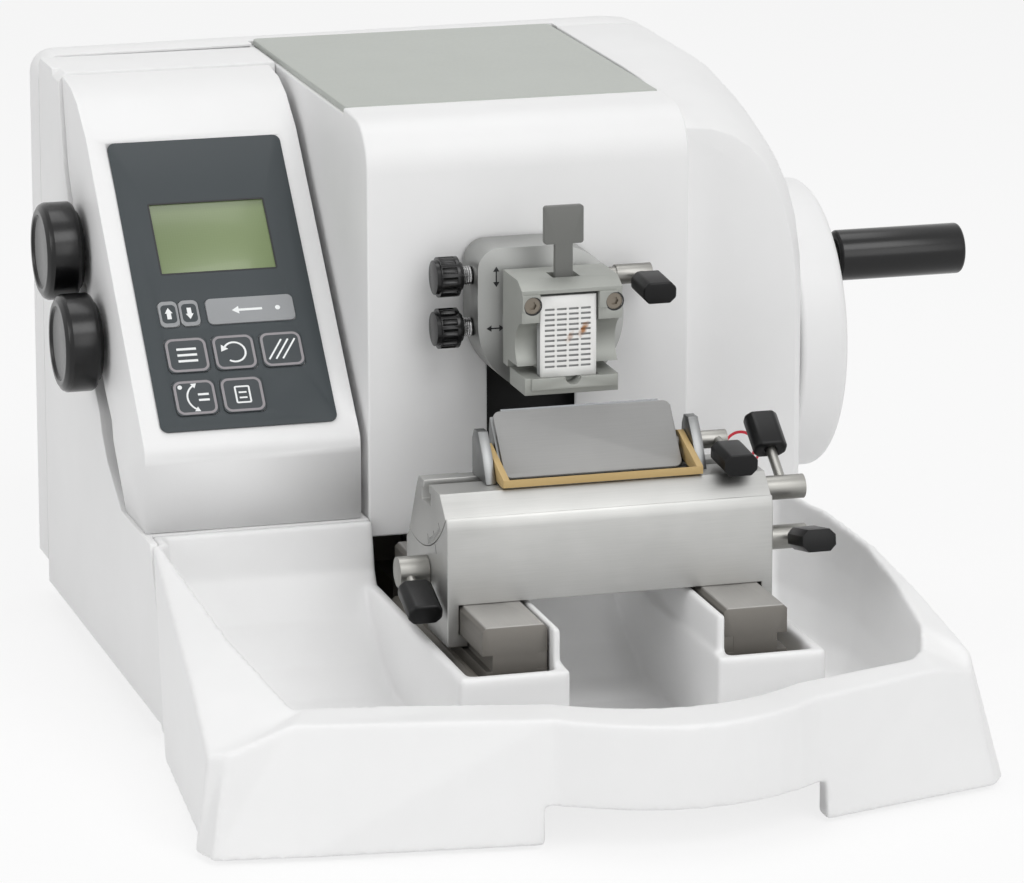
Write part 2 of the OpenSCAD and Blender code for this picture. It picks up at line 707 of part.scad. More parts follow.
module power_switch() {
    half = switch_h / 2 - 1.3;
    color("#303032") place() translate([inlet_x, rear_y - 7.5, inlet_z + 16]) along_x(-switch_w / 2, switch_w / 2)
        polygon([[-5, 0], [0, -half], [4.9, -half], [3.2, 0], [6.6, half], [0, half]]);
}

// FRAME AND DRIVE

frame_y = 82;
frame_t = 10;
frame_half = 74;
shaft_guide_y = 58;
guide_x = 46;
guide_d = 16;
pedestal_x = 84;
pedestal_end = 142;
bearing_d = 42;
bearing_w = 12;
window_half = 34;

module upright_frame() {
    top = top_z - 16;
    low_cheek = 30;
    color(cast_grey) place() difference() {
        union() {
            box([-frame_half, frame_y, slab_z], [frame_half, frame_y + frame_t, top]);
            for (z = [slab_z, top - 14])
                box([-guide_x - 16, shaft_guide_y - 14, z], [guide_x + 16, frame_y + eps, z + (z == slab_z ? low_cheek : 14)]);
            // Pedestal of the main shaft
            box([pedestal_x, shaft_y - 34, slab_z], [pedestal_end, shaft_y + 34, shaft_z]);
            rod_x(pedestal_x, pedestal_end, shaft_y, shaft_z, 68);
            box([frame_half - eps, frame_y, slab_z], [pedestal_end, shaft_y - 30, slab_z + 50]);
        }
        box([-window_half, frame_y - 1, slab_z + low_cheek + 12], [frame_half - 20, frame_y + frame_t + 1, top - 30]);
        for (s = [-1, 1]) translate([s * guide_x, shaft_guide_y, slab_z - 1]) cylinder(d = guide_d + 2 * run, h = top);
        rod_x(pedestal_x - 1, pedestal_end + 1, shaft_y, shaft_z, shaft_d + 4);
        for (x = [pedestal_x - eps, pedestal_end - bearing_w])
            rod_x(x, x + bearing_w + eps, shaft_y, shaft_z, bearing_d + 2 * run);
        box([pedestal_x + 12, shaft_y - 22, slab_z - 1], [pedestal_end - 12, shaft_y + 22, shaft_z - 30]);
    }
}

module vertical_shafts() {
    color(steel) place() for (s = [-1, 1]) translate([s * guide_x, shaft_guide_y, slab_z])
        cylinder(d = guide_d, h = top_z - 16 - slab_z);
}

carriage_h = 60;
carriage_y = 36;
carriage_back = 80;
yoke_x = 24;
yoke_t = 12;
crank_r = stroke / 2;
pin_d = 15;
pin_z = shaft_z + crank_r;
module carriage() {
    half = guide_x + 12;
    color(steel) place() difference() {
        union() {
            box([-half, carriage_y, head_z - carriage_h / 2], [half, carriage_back, head_z + carriage_h / 2]);
            // Yoke in which the crank pin runs from side to side
            box([yoke_x, carriage_back - eps, pin_z - 14],
                [yoke_x + yoke_t, shaft_y + crank_r + 18, pin_z + 14]);
        }
        rod_y(0, 200, 0, head_z, cylinder_d + 2 * run);
        for (s = [-1, 1]) translate([s * guide_x, shaft_guide_y, 0]) cylinder(d = guide_d + 2 * run, h = 400);
        for (s = [-1, 1]) translate([s * guide_x, shaft_guide_y, head_z - 12]) cylinder(d = guide_d + 4, h = 24);
        box([yoke_x - 1, shaft_y - crank_r - 1, pin_z - pin_d / 2 - free],
            [yoke_x + yoke_t + 1, shaft_y + crank_r + 1, pin_z + pin_d / 2 + free]);
    }
}

shield_y = 13;
shield_t = 2;
module slot_shield() {
    low = slot_low - 6;
    top = slot_top + stroke;
    color(black) place() difference() {
        union() {
            box([-30, shield_y, low], [30, shield_y + shield_t, top]);
            rod_y(shield_y, carriage_y, 0, head_z, cylinder_d + 12);
        }
        rod_y(0, 60, 0, head_z, cylinder_d + 2 * free);
    }
}

module ring_x(x0, x1, d_out, d_in) {
    difference() {
        rod_x(x0, x1, shaft_y, shaft_z, d_out);
        rod_x(x0 - 1, x1 + 1, shaft_y, shaft_z, d_in);
    }
}
module shaft_bearings() {
    color(satin) place() for (x = [pedestal_x, pedestal_end - bearing_w])
        ring_x(x, x + bearing_w, bearing_d, shaft_d + 2 * run);
}

disc_x = 50;
disc_t = 12;
hub_d = 34;
module main_shaft() {
    color(steel) place() union() {
        rod_x(disc_x, wheel_face - 8, shaft_y, shaft_z, shaft_d);
        rod_x(disc_x + disc_t, pedestal_x - free, shaft_y, shaft_z, shaft_d + 8);
    }
}

module crank_disc() {
    color(cast_grey) place() {
        difference() {
            rod_x(disc_x, disc_x + disc_t, shaft_y, shaft_z, 2 * crank_r + 24);
            rod_x(disc_x - 1, disc_x + disc_t + 1, shaft_y, shaft_z, shaft_d);
            for (a = [60, 120]) translate([0, shaft_y, shaft_z]) rotate([a - 90, 0, 0])
                rod_x(disc_x - 1, disc_x + disc_t + 1, 0, 28, 12);
        }
        rod_x(yoke_x + yoke_t + 1, disc_x + eps, shaft_y, pin_z, pin_d);
    }
}

grip_a = 133;
grip_y = shaft_y + grip_throw * cos(grip_a);
grip_z = shaft_z + grip_throw * sin(grip_a);
axle_d = 10;
module handwheel() {
    r = wheel_r;
    t = wheel_t;
    color(white) place() difference() {
        translate([wheel_x, shaft_y, shaft_z]) rotate([0, 90, 0]) rotate_extrude($fn = 96)
            polygon(concat(
                [[0, 0], [hub_d / 2, 0], [hub_d / 2, 8], [r - 14, 8], [r - 10, 0], [r - 3, 0]],
                arc([r - 3, 3], 3, -90, 0, 4),
                arc([r - 5, t - 5], 5, 0, 90, 6),
                [[r - 16, t], [r - 18, t - 2], [22, t - 2], [20, t], [0, t]]
            ));
        rod_x(wheel_x - 1, wheel_face - 8, shaft_y, shaft_z, shaft_d);
        rod_x(wheel_face - 16, wheel_face + 1, grip_y, grip_z, axle_d);
    }
}

module grip_axle() {
    color(steel) place() union() {
        rod_x(wheel_face - 16, x_max - 6, grip_y, grip_z, axle_d);
        rod_x(wheel_face + free, wheel_face + 1.6, grip_y, grip_z, 18);
        rod_x(x_max - 6, x_max - 3, grip_y, grip_z, 16);
    }
}

module hand_grip() {
    r = grip_d / 2;
    h = grip_len - 2.5;
    color(black) place() translate([wheel_face + 2.5, grip_y, grip_z]) rotate([0, 90, 0]) difference() {
        rotate_extrude($fn = 64)
            polygon(concat([[0, 0], [r - 1.5, 0], [r, 1.5]], arc([r - 2, h - 2], 2, 0, 90, 4), [[0, h]]));
        translate([0, 0, -1]) cylinder(d = axle_d + 2 * run, h = h);
        translate([0, 0, h - 9]) cylinder(d = 17, h = 10);
    }
}

// SPECIMEN ARM

plate_back = -2;
plate_front = -29;
ball_y = -26;
ball_r = 18;
screw_d = 8;
module feed_cylinder() {
    color(steel) place() difference() {
        rod_y(plate_back, 76, 0, head_z, cylinder_d);
        rod_y(20, 77, 0, head_z, screw_d + 2);
    }
}

motor_w = 42;
module feed_motor() {
    back = carriage_back + 34;
    color("#2b2c2e") place() union() {
        translate([0, 0, head_z]) along_y(carriage_back, back) rounded(motor_w, motor_w, 5);
        rod_y(24, carriage_back + eps, 0, head_z, screw_d);
    }
}

plate_corner_r = 11;
knob_z = [head_z + 22, head_z - 4];
knob_y = -17;
knob_x = -57;
knob_len = 14;
shank_d = 9;
module head_base() {
    color(satin) place() difference() {
        union() {
            rod_y(plate_front, plate_back, 0, head_z, head_disc_d);
            // The disc is squared out at the corner with the knobs
            translate([(plate_corner_r - head_disc_d / 2) / 2, 0, head_z + (head_disc_d / 2 - plate_corner_r) / 2])
                along_y(plate_front, plate_back)
                rounded(head_disc_d / 2 + plate_corner_r, head_disc_d / 2 + plate_corner_r, plate_corner_r);
            rod_y(plate_front - 2, plate_front + eps, 0, head_z, 50);
        }
        ball(ball_r + free);
        for (z = knob_z) rod_x(-60, -18, knob_y, z, shank_d + 2 * run);
        rod_x(21, 60, orient_at[0], orient_at[1], orient_pin + 2 * run);
    }
}

clamp_x = -2;
clamp_back = -39;
clamp_front = -72;
module ball_joint() {
    color(steel) place() intersection() {
        ball(ball_r);
        box([-40, -60, 0], [40, ball_y + 12, 400]);
    }
}

// Clamp for cassettes: a block with a bay, finger scoops, top hooks and a neck on the ball
clamp_w = 51;
clamp_top = head_z + 29;
clamp_low = head_z - 27;
bay_w = cassette_w + 1.6;
bay_x = -3.4;
scoop_z = head_z - 4;
scoop_d = 26;
cassette_low = head_z - 18;
jaw_top = cassette_low;
module clamp_body() {
    x0 = clamp_x - clamp_w / 2;
    x1 = clamp_x + clamp_w / 2;
    bay_floor = clamp_front + 8;
    color(satin) place() difference() {
        union() {
            box([x0, clamp_front + 14, clamp_low + 9], [x1, clamp_back, clamp_top - 4]);
            along_x(x0, x1) polygon([[clamp_front, jaw_top + 4], [clamp_back, jaw_top + 4], [clamp_back, clamp_top],
                                     [clamp_front + 8, clamp_top], [clamp_front, clamp_top - 4]]);
            // Hooks over the cassette
            for (s = [-1, 1]) box([bay_x + s * 19 - 5, clamp_front - 1.5, clamp_top - 14],
                                  [bay_x + s * 19 + 5, clamp_front + eps, clamp_top - 6]);
        }
        // Bay of the cassette, open below
        box([bay_x - bay_w / 2, clamp_front - 3, 0], [bay_x + bay_w / 2, bay_floor, cassette_low + cassette_h + 0.6]);
        // Finger scoops right and left of it
        for (x = [x0 - 1, bay_x])
            rod_x(x, x + clamp_w / 2 + 4, clamp_front - 1, scoop_z, scoop_d);
        // Room for the lower jaw and for the tabs of the T lever
        box([x0 - 1, clamp_front - 3, clamp_low - 1], [x1 + 1, clamp_back - 8, jaw_top + 4 - 0.2]);
        box([bay_x - 7 + lever_shift, clamp_front + 9, head_z + 8], [bay_x + 7 + lever_shift, clamp_front + 21, clamp_top + 1]);
        rod_x(bay_x - 16, bay_x + 18, clamp_front + 15, clamp_top - 8, 4 + 2 * run);
        ball(ball_r + free);
        for (s = [-1, 1]) rod_y(clamp_front - 3, clamp_front + 3, bay_x + s * 20.8 + 2.2, head_z + 17.5, 9.4);
    }
}

lever_shift = 1.2;
module lower_jaw() {
    x0 = clamp_x - clamp_w / 2 + 1;
    x1 = clamp_x + clamp_w / 2 - 2.5;
    color(satin) place() difference() {
        union() {
            box([x0, clamp_front - 2, clamp_low + free], [x1, clamp_back - 8.3, jaw_top - 0.1]);
            box([x0 + 3, clamp_front - 4, clamp_low + 3], [x1 - 1, clamp_front - 2 + eps, jaw_top - 0.1]);
            rod_z(bay_x - 9, clamp_front + 21, jaw_top - 4, jaw_top + 3.4, 6);
        }
        // Half round notch, and the seat of the cassette
        rod_y(clamp_front - 6, clamp_front + 6, bay_x + 1, jaw_top, 8);
        box([bay_x - bay_w / 2, clamp_front - 1.5, jaw_top - 1.2], [bay_x + bay_w / 2, clamp_front + 8, jaw_top + 1]);
    }
}
module rod_z(x, y, z0, z1, d) {
    translate([x, y, z0]) cylinder(d = d, h = z1 - z0);
}

cassette_t = 6;
module cassette() {
    z0 = cassette_low - 1;
    y0 = clamp_front + 8 - cassette_t - 0.2;
    pitch = 2.6;
    color("#f4f4f2") place() difference() {
        box([bay_x - cassette_w / 2, y0, z0], [bay_x + cassette_w / 2, y0 + cassette_t, z0 + cassette_h]);
        for (c = [0:3], r = [0:11])
            box([bay_x - cassette_w / 2 + 2.4 + c * 6.1, y0 - 1, z0 + 4.5 + r * pitch],
                [bay_x - cassette_w / 2 + 7.4 + c * 6.1, y0 + 1.4, z0 + 4.5 + r * pitch + 1.1]);
        box([bay_x - cassette_w / 2 + 1.5, y0 + 2.4, z0 + 1.5],
            [bay_x + cassette_w / 2 - 1.5, y0 + cassette_t + 1, z0 + cassette_h - 6]);
    }
}

// T lever: pin in the block, stem up, broad tab for the thumb
module cassette_lever() {
    x = bay_x + lever_shift;
    y = clamp_front + 15;
    pivot = clamp_top - 8;
    color(plate_grey) place() union() {
        box([x - 4.5, y - 1.8, pivot - 12], [x + 4.5, y + 1.8, clamp_top + 17]);
        translate([x, 0, clamp_top + 25]) along_y(y - 1.8, y + 1.8) rounded(20, 19, 1.5);
        rod_x(bay_x - 15, bay_x + 17, y, pivot, 4);
        rod_x(x - 4.5, x + 4.5, y, pivot, 8);
    }
}

// Knurled knobs: flutes round the rim and a threaded shank into the plate
module fluted_knob(z) {
    r = tilt_knob_d / 2;
    x0 = knob_x;
    x1 = x0 + knob_len;
    color(black) place() difference() {
        union() {
            rod_x(x0, x0 + 4, knob_y, z, 2 * r - 3);
            rod_x(x0 + 2, x1 - 2, knob_y, z, 2 * r);
            rod_x(x1 - 2 - eps, x1, knob_y, z, 2 * r - 6);
            rod_x(x1 - eps, -22, knob_y, z, shank_d);
        }
        for (a = [0:30:359]) translate([0, knob_y, z]) rotate([a, 0, 0]) rod_x(x0 + 2.5, x1 - 4, 0, r + 0.9, 4);
    }
}
module tilt_knob() { fluted_knob(knob_z[0]); }
module pan_knob() { fluted_knob(knob_z[1]); }

// LEVERS: a shaft along X, a rod that leaves it and a flat black handle

// Turns the y axis to the way the rod points: 180 is to the front, 90 is up
module lever_arm(x, y, z, a) {
    translate([x, y, z]) rotate([a, 0, 0]) children();
}
handle_w = 17;
handle_t = 11;
handle_chamfer = 3;
module lever_steel(pin_x, seat_x, tip_x, at, d, pin_d, a, reach, arm_x) {
    color(steel) place() union() {
        rod_x(min(pin_x, seat_x), max(pin_x, seat_x), at[0], at[1], pin_d);
        rod_x(min(tip_x, seat_x), max(tip_x, seat_x), at[0], at[1], d);
        lever_arm(arm_x, at[0], at[1], a) rod_y(0, reach + 6, 0, 0, rod_d);
    }
}
module lever_grip(arm_x, at, a, reach, len) {
    color(black) place() lever_arm(arm_x, at[0], at[1], a) difference() {
        along_y(reach, reach + len) {
            square([handle_w - 2 * handle_chamfer, handle_t], center = true);
            polygon([for (s = [[1, 1], [-1, 1], [-1, -1], [1, -1]], k = s[0] == s[1] ? [0, 1] : [1, 0])
                     [s[0] * (handle_w / 2 - k * handle_chamfer), s[1] * (handle_t / 2 - (1 - k) * handle_chamfer)]]);
        }
        rod_y(reach - 1, reach + 6, 0, 0, rod_d);
    }
}

orient_at = [-14, head_z + 17];
orient_pin = 8;
orient_arm = 184;
orient_x = 50;
module orientation_lever() {
    lever_steel(22, head_disc_d / 2, 56, orient_at, orient_pin + 2, orient_pin, orient_arm, 14, orient_x);
}
module orientation_handle() { lever_grip(orient_x, orient_at, orient_arm, 14, 22); }

// KNIFE HOLDER

base_half = base_len / 2;
base_front = -132;
base_low = rail_z + 0.1;
crest_z = 127;
back_y = -57;
head_room = 62;
slot_y = -94;
function about_edge(r, a) = [-edge_y + r * cos(a), edge_z + r * sin(a)];
cradle_r = segment_r + free;

base_lever_at = [-95, 98.5];
segment_lever_at = [-104, 104];
lateral_lever_at = [-100, 128];
blade_lever_at = [-87, 151.5];
lever_pin = 10;
guard_pin = 6;

module knife_base() {
    outline = concat(
        [[base_front, base_low], [back_y, base_low], [back_y, 106], [-61.5, 110]],
        arc([-edge_y, edge_z], cradle_r, -75, -142, 14),
        [[-130.8, 131.5], [base_front, 127]]
    );
    color(satin) place() difference() {
        union() {
            along_x(-base_half, base_half) polygon(outline);
            // Legs that reach down beside the rails, with a hook under each head
            for (s = [-1, 1]) {
                x0 = s * (rail_span / 2 + rail_w / 2 + free);
                box([min(x0, s * base_half), base_front, 73], [max(x0, s * base_half), -95, base_low + eps]);
                hook = s * (rail_span / 2 + rail_neck_w / 2 + 1);
                box([min(hook, s * base_half), base_front, 69.5],
                    [max(hook, s * base_half), -95, rail_z - rail_head_h - free]);
            }
        }
        // Behind the edge the middle is cut away for the specimen
        box([-head_room, -80, 100], [head_room, 0, 300]);
        rod_x(-base_half - 1, -base_half + 26, base_lever_at[0], base_lever_at[1], lever_pin + 2 * run);
        rod_x(base_half - 26, base_half + 1, segment_lever_at[0], segment_lever_at[1], lever_pin + 2 * run);
    }
}

seg_front = 140.5;
seg_back = 74.5;
module segment_block() {
    top = 142;
    color(satin) place() difference() {
        along_x(-base_half, base_half) polygon(concat(
            arc([-edge_y, edge_z], segment_r, -seg_front, -seg_back, 14),
            [[-77, top - 4], [-80, top], [-118, top]]
        ));
        // Guide groove of the lateral slide, narrower at its mouth
        box([-base_half - 1, slot_y - 4.5, top - 4], [base_half + 1, slot_y + 4.5, top + 1]);
        box([-base_half - 1, slot_y - 8, top - 10], [base_half + 1, slot_y + 8, top - 4 + eps]);
        box([-head_room, -81, 100], [head_room, 0, 300]);
        rod_x(base_half - 22, base_half + 1, lateral_lever_at[0], lateral_lever_at[1], lever_pin + 2 * run);
    }
}

// Slope of the pressure plate: along it, and out of it
slope = [cos(plate_tilt), sin(plate_tilt)];
out = [-sin(plate_tilt), cos(plate_tilt)];
function on_plate(s, h) = [-edge_y, edge_z] - s * slope + h * out;
plate_t = 2;
plate_len = 37.5;
blade_t = 0.4;
holder_half = 46;
cheek_t = 5;
module blade_holder() {
    low = 142.3;
    color(satin) place() difference() {
        union() {
            along_x(-holder_half, holder_half)
                polygon([[-98.5, low], [-84, low], [-79, low + 10], [-78, 162],
                         on_plate(3, -plate_t - blade_t - 0.3), on_plate(33, -plate_t - blade_t - 0.3)]);
            // Cheeks with the pivots of the guard
            for (s = [-1, 1]) along_x(min(s * 50.8, s * (50.8 + cheek_t)), max(s * 50.8, s * (50.8 + cheek_t)))
                polygon([[-108, low], [-83, low], [-83, 160], [-86, 165], [-93, 165], [-101, 155]]);
            for (s = [-1, 1]) box([min(s * (holder_half - 1), s * 51), -92, low], [max(s * (holder_half - 1), s * 51), -84, low + 2.5]);
            // Foot in the groove
            box([-holder_half, slot_y - 4.2, 138 - free - eps], [holder_half, slot_y + 4.2, low + eps]);
            box([-holder_half, slot_y - 7.7, 132 + free], [holder_half, slot_y + 7.7, 138 - free]);
            // Left pivot of the guard
            rod_x(-51, -holder_half + 1, blade_lever_at[0], blade_lever_at[1], guard_pin);
        }
        rod_x(19, 80, blade_lever_at[0], blade_lever_at[1], guard_pin + 2 * run);
    }
}

module blade() {
    color("#d6d9dc") place() along_x(-40, 40)
        polygon([on_plate(-0.4, -plate_t - 0.2), on_plate(14, -plate_t - 0.2),
                 on_plate(14, -plate_t - blade_t - 0.2), on_plate(1, -plate_t - blade_t - 0.2)]);
}

module pressure_plate() {
    color(plate_grey) place() {
        along_x(-plate_w / 2, plate_w / 2)
            polygon([on_plate(1.5, 0), on_plate(1.5, -plate_t), on_plate(plate_len - 0.6, -plate_t),
                     on_plate(plate_len, -plate_t + 0.6), on_plate(plate_len, -0.5), on_plate(plate_len - 0.5, 0)]);
    }
}

blade_arm = 185;
blade_x = 67;
module blade_lever() {
    lever_steel(20, 50.8 + cheek_t + free, 72, blade_lever_at, 9, guard_pin, blade_arm, 18, blade_x);
}
module blade_handle() { lever_grip(blade_x, blade_lever_at, blade_arm, 18, 23); }
lateral_arm = 35;
lateral_x = base_half + 16;
module lateral_lever() {
    lever_steel(base_half - 20, base_half + free, base_half + 26, lateral_lever_at, lever_d, lever_pin,
                lateral_arm, 24, lateral_x);
}
module lateral_handle() { lever_grip(lateral_x, lateral_lever_at, lateral_arm, 24, 22); }
segment_arm = 169;
segment_x = base_half + 21;
module segment_lever() {
    lever_steel(base_half - 24, base_half + free, base_half + 26, segment_lever_at, lever_d, lever_pin,
                segment_arm, 14, segment_x);
}
module segment_handle() { lever_grip(segment_x, segment_lever_at, segment_arm, 14, 23); }
base_arm = 200;
base_x = -base_half - 10;
module base_lever() {
    lever_steel(-base_half + 24, -base_half - free, -base_half - 15, base_lever_at, lever_d + 3, lever_pin,
                base_arm, 14, base_x);
}
module base_handle() { lever_grip(base_x, base_lever_at, base_arm, 14, 23); }

// Guard: a bar before the pressure plate on two arms that turn on the holder's pivots
guard_x = 47.2;
guard_t = 3.2;
module knife_guard() {
    bar = [-119, 143.5];
    color(tan) place() difference() {
        union() {
            for (s = [-1, 1]) along_x(min(s * guard_x, s * (guard_x + guard_t)), max(s * guard_x, s * (guard_x + guard_t)))
                polygon(concat([bar + [0, 3.4], bar + [0, -0.5], bar + [4, -1]],
                               arc(blade_lever_at, 6, -60, 120, 6)));
            along_x(-guard_x - eps, guard_x + eps) polygon([bar + [0, -0.5], bar + [4, -1], bar + [3, 2.5], bar + [0, 3.4]]);
        }
        rod_x(-60, 60, blade_lever_at[0], blade_lever_at[1], guard_pin + 2 * free);
    }
}

base_plate();
rubber_feet();
guide_rails();
section_tray();
left_housing();
console_housing();
keypad_panel();
display_window();
key_up();
key_down();
key_retraction();
key_menu();
key_cycle();
key_trim();
key_rock();
key_memo();
upper_knob();
lower_knob();
front_cover();
top_plate();
right_housing();
rear_cover();
power_inlet();
power_switch();
upright_frame();
vertical_shafts();
carriage();
slot_shield();
shaft_bearings();
main_shaft();
crank_disc();
handwheel();
grip_axle();
hand_grip();
feed_cylinder();
feed_motor();
head_base();
ball_joint();
clamp_body();
lower_jaw();
cassette();
cassette_lever();
tilt_knob();
pan_knob();
orientation_lever();
orientation_handle();
knife_base();
base_lever();
base_handle();
segment_block();
segment_lever();
segment_handle();
lateral_lever();
lateral_handle();
blade_holder();
blade();
pressure_plate();
blade_lever();
blade_handle();
knife_guard();
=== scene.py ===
"""Bench rotary microtome: finishes, fasteners, printed marks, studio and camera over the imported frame."""
from __future__ import annotations

import json
import logging
import math
from dataclasses import dataclass
from enum import Enum
from typing import Callable, Sequence

import bmesh
import bpy
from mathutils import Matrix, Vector

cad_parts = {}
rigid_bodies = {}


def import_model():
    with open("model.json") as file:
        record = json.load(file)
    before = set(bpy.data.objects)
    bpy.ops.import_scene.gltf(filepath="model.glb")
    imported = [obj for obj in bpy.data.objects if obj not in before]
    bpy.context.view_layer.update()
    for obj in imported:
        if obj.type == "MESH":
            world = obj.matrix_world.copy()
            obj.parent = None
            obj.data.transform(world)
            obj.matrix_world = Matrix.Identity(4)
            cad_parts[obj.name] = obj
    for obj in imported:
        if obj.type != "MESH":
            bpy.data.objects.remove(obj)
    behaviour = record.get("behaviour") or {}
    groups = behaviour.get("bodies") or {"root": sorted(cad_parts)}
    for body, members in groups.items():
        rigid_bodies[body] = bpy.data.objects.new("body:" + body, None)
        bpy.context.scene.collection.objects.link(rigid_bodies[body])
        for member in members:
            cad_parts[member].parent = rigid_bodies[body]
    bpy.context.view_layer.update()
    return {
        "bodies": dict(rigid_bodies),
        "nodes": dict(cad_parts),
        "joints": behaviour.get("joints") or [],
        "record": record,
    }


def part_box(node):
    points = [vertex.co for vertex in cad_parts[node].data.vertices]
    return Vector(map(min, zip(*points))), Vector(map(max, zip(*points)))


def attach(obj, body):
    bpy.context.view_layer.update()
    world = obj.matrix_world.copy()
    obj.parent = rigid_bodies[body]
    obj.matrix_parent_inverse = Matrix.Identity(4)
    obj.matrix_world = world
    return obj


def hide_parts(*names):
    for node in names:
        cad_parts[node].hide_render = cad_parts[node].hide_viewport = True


log = logging.getLogger("microtome")

MM = 0.001
SPECIMEN_X = -19.0  # the specimen axis stands this far from the middle of the machine, in mm
PANEL_TILT = math.radians(46.0)  # slope of the keypad panel
INK_ROOT = 0.02  # how far a print reaches into what carries it, in mm
SMALL_HARD_DEG = 32.0  # edges sharper than this stay sharp on prints and fasteners
SOLID_HARD_DEG = 40.0  # the same for solids whose edges were rounded
COLOUR_A, COLOUR_B, COLOUR_OUT = 6, 7, 2  # the Mix node's colour sockets, whose names aren't unique

Point2 = tuple[float, float]
Point3 = tuple[float, float, float]
Outlines = Sequence[Sequence[Point2]]
Place = Callable[[float, float, float], Vector]
Colour = tuple[float, float, float, float]
Blank = tuple[bpy.types.Material, bpy.types.NodeTree, bpy.types.Node, bpy.types.NodeSocket]


def mm(x: float, y: float, z: float) -> Vector:
    """Returns a point in metres from millimetres counted from the specimen axis, cover front and bench."""
    return Vector(((x + SPECIMEN_X) * MM, y * MM, z * MM))


def linear(colour: str) -> Colour:
    """Turns an sRGB hex colour into the linear colour that a shader takes.

    Args:
        colour: six hex digits after a hash.

    Returns:
        Red, green, blue and an alpha of one.
    """
    parts = [int(colour[i:i + 2], 16) / 255 for i in (1, 3, 5)]
    return (*[c / 12.92 if c <= 0.04045 else ((c + 0.055) / 1.055) ** 2.4 for c in parts], 1.0)


def scaled(colour: Colour, factor: float) -> Colour:
    """Returns a linear colour made darker or paler, at most white."""
    return (*[min(c * factor, 1.0) for c in colour[:3]], 1.0)


def feed(tree: bpy.types.NodeTree, node: bpy.types.Node, links: dict) -> None:
    """Links or sets a node's inputs.

    Args:
        tree: the node tree.
        node: the node.
        links: what goes into each input, by name or number: a socket, or a value.
    """
    for name, value in links.items():
        target = node.inputs[name]
        if isinstance(value, bpy.types.NodeSocket):
            tree.links.new(value, target)
        else:
            target.default_value = value


def add(tree: bpy.types.NodeTree, kind: str, links: dict | None = None, **settings: object) -> bpy.types.Node:
    """Adds one node with its settings, and links or sets its inputs.

    Args:
        tree: the node tree.
        kind: the node's type name.
        links: what goes into each input, as for feed.
        settings: the node's own properties.

    Returns:
        The new node.
    """
    node = tree.nodes.new(kind)
    for key, value in settings.items():
        setattr(node, key, value)
    feed(tree, node, links or {})
    return node


# FINISHES

class Lay(Enum):
    """Which way a metal was brushed or ground, as how far its lines are drawn out on each axis."""

    X = (0.02, 1.0, 1.0)
    Y = (1.0, 0.02, 1.0)
    BLASTED = (1.0, 1.0, 1.0)


def blank_material(name: str) -> Blank:
    """Makes a material with only a Principled shader and its output.

    Args:
        name: the finish's name.

    Returns:
        The material, its tree, the shader node and the Object coordinate socket.
    """
    material = bpy.data.materials.new(name)
    material.use_nodes = True
    tree = material.node_tree
    tree.nodes.clear()
    shader = add(tree, "ShaderNodeBsdfPrincipled")
    add(tree, "ShaderNodeOutputMaterial", {"Surface": shader.outputs[0]})
    coord = add(tree, "ShaderNodeTexCoord").outputs["Object"]
    return material, tree, shader, coord


@dataclass(frozen=True)
class Moulding:
    """Moulded or lacquered surface: an even colour, a fine grain and a little unevenness in its gloss."""

    name: str
    colour: str
    roughness: float
    grain_mm: float
    depth_mm: float
    mottle: float = 0.03
    specular: float = 0.5
    ior: float = 1.5
    gloss_spread: float = 0.06
    broad_scale: float = 18.0

    def build(self) -> bpy.types.Material:
        """Returns the finish as a material on Object coordinates."""
        material, tree, shader, coord = blank_material(self.name)
        broad = add(tree, "ShaderNodeTexNoise", {"Vector": coord, "Scale": self.broad_scale, "Detail": 3.0,
                                                 "Roughness": 0.6})
        grain = add(tree, "ShaderNodeTexNoise", {"Vector": coord, "Scale": 1.0 / (self.grain_mm * MM),
                                                 "Detail": 2.0, "Roughness": 0.5})
        base = linear(self.colour)
        tone = add(tree, "ShaderNodeMapRange", {"Value": broad.outputs[0], "From Min": 0.3, "From Max": 0.7})
        dark = scaled(base, 1 - 2.2 * self.mottle)
        tint = add(tree, "ShaderNodeMix", {"Factor": tone.outputs[0], COLOUR_A: dark, COLOUR_B: base},
                   data_type="RGBA")
        gloss = add(tree, "ShaderNodeMapRange", {"Value": grain.outputs[0],
                                                 "To Min": self.roughness - self.gloss_spread,
                                                 "To Max": self.roughness + self.gloss_spread})
        bump = add(tree, "ShaderNodeBump", {"Height": grain.outputs[0], "Strength": 0.55,
                                            "Distance": self.depth_mm * MM})
        feed(tree, shader, {"Base Color": tint.outputs[COLOUR_OUT], "Roughness": gloss.outputs[0],
                            "Normal": bump.outputs[0], "IOR": self.ior, "Specular IOR Level": self.specular})
        return material


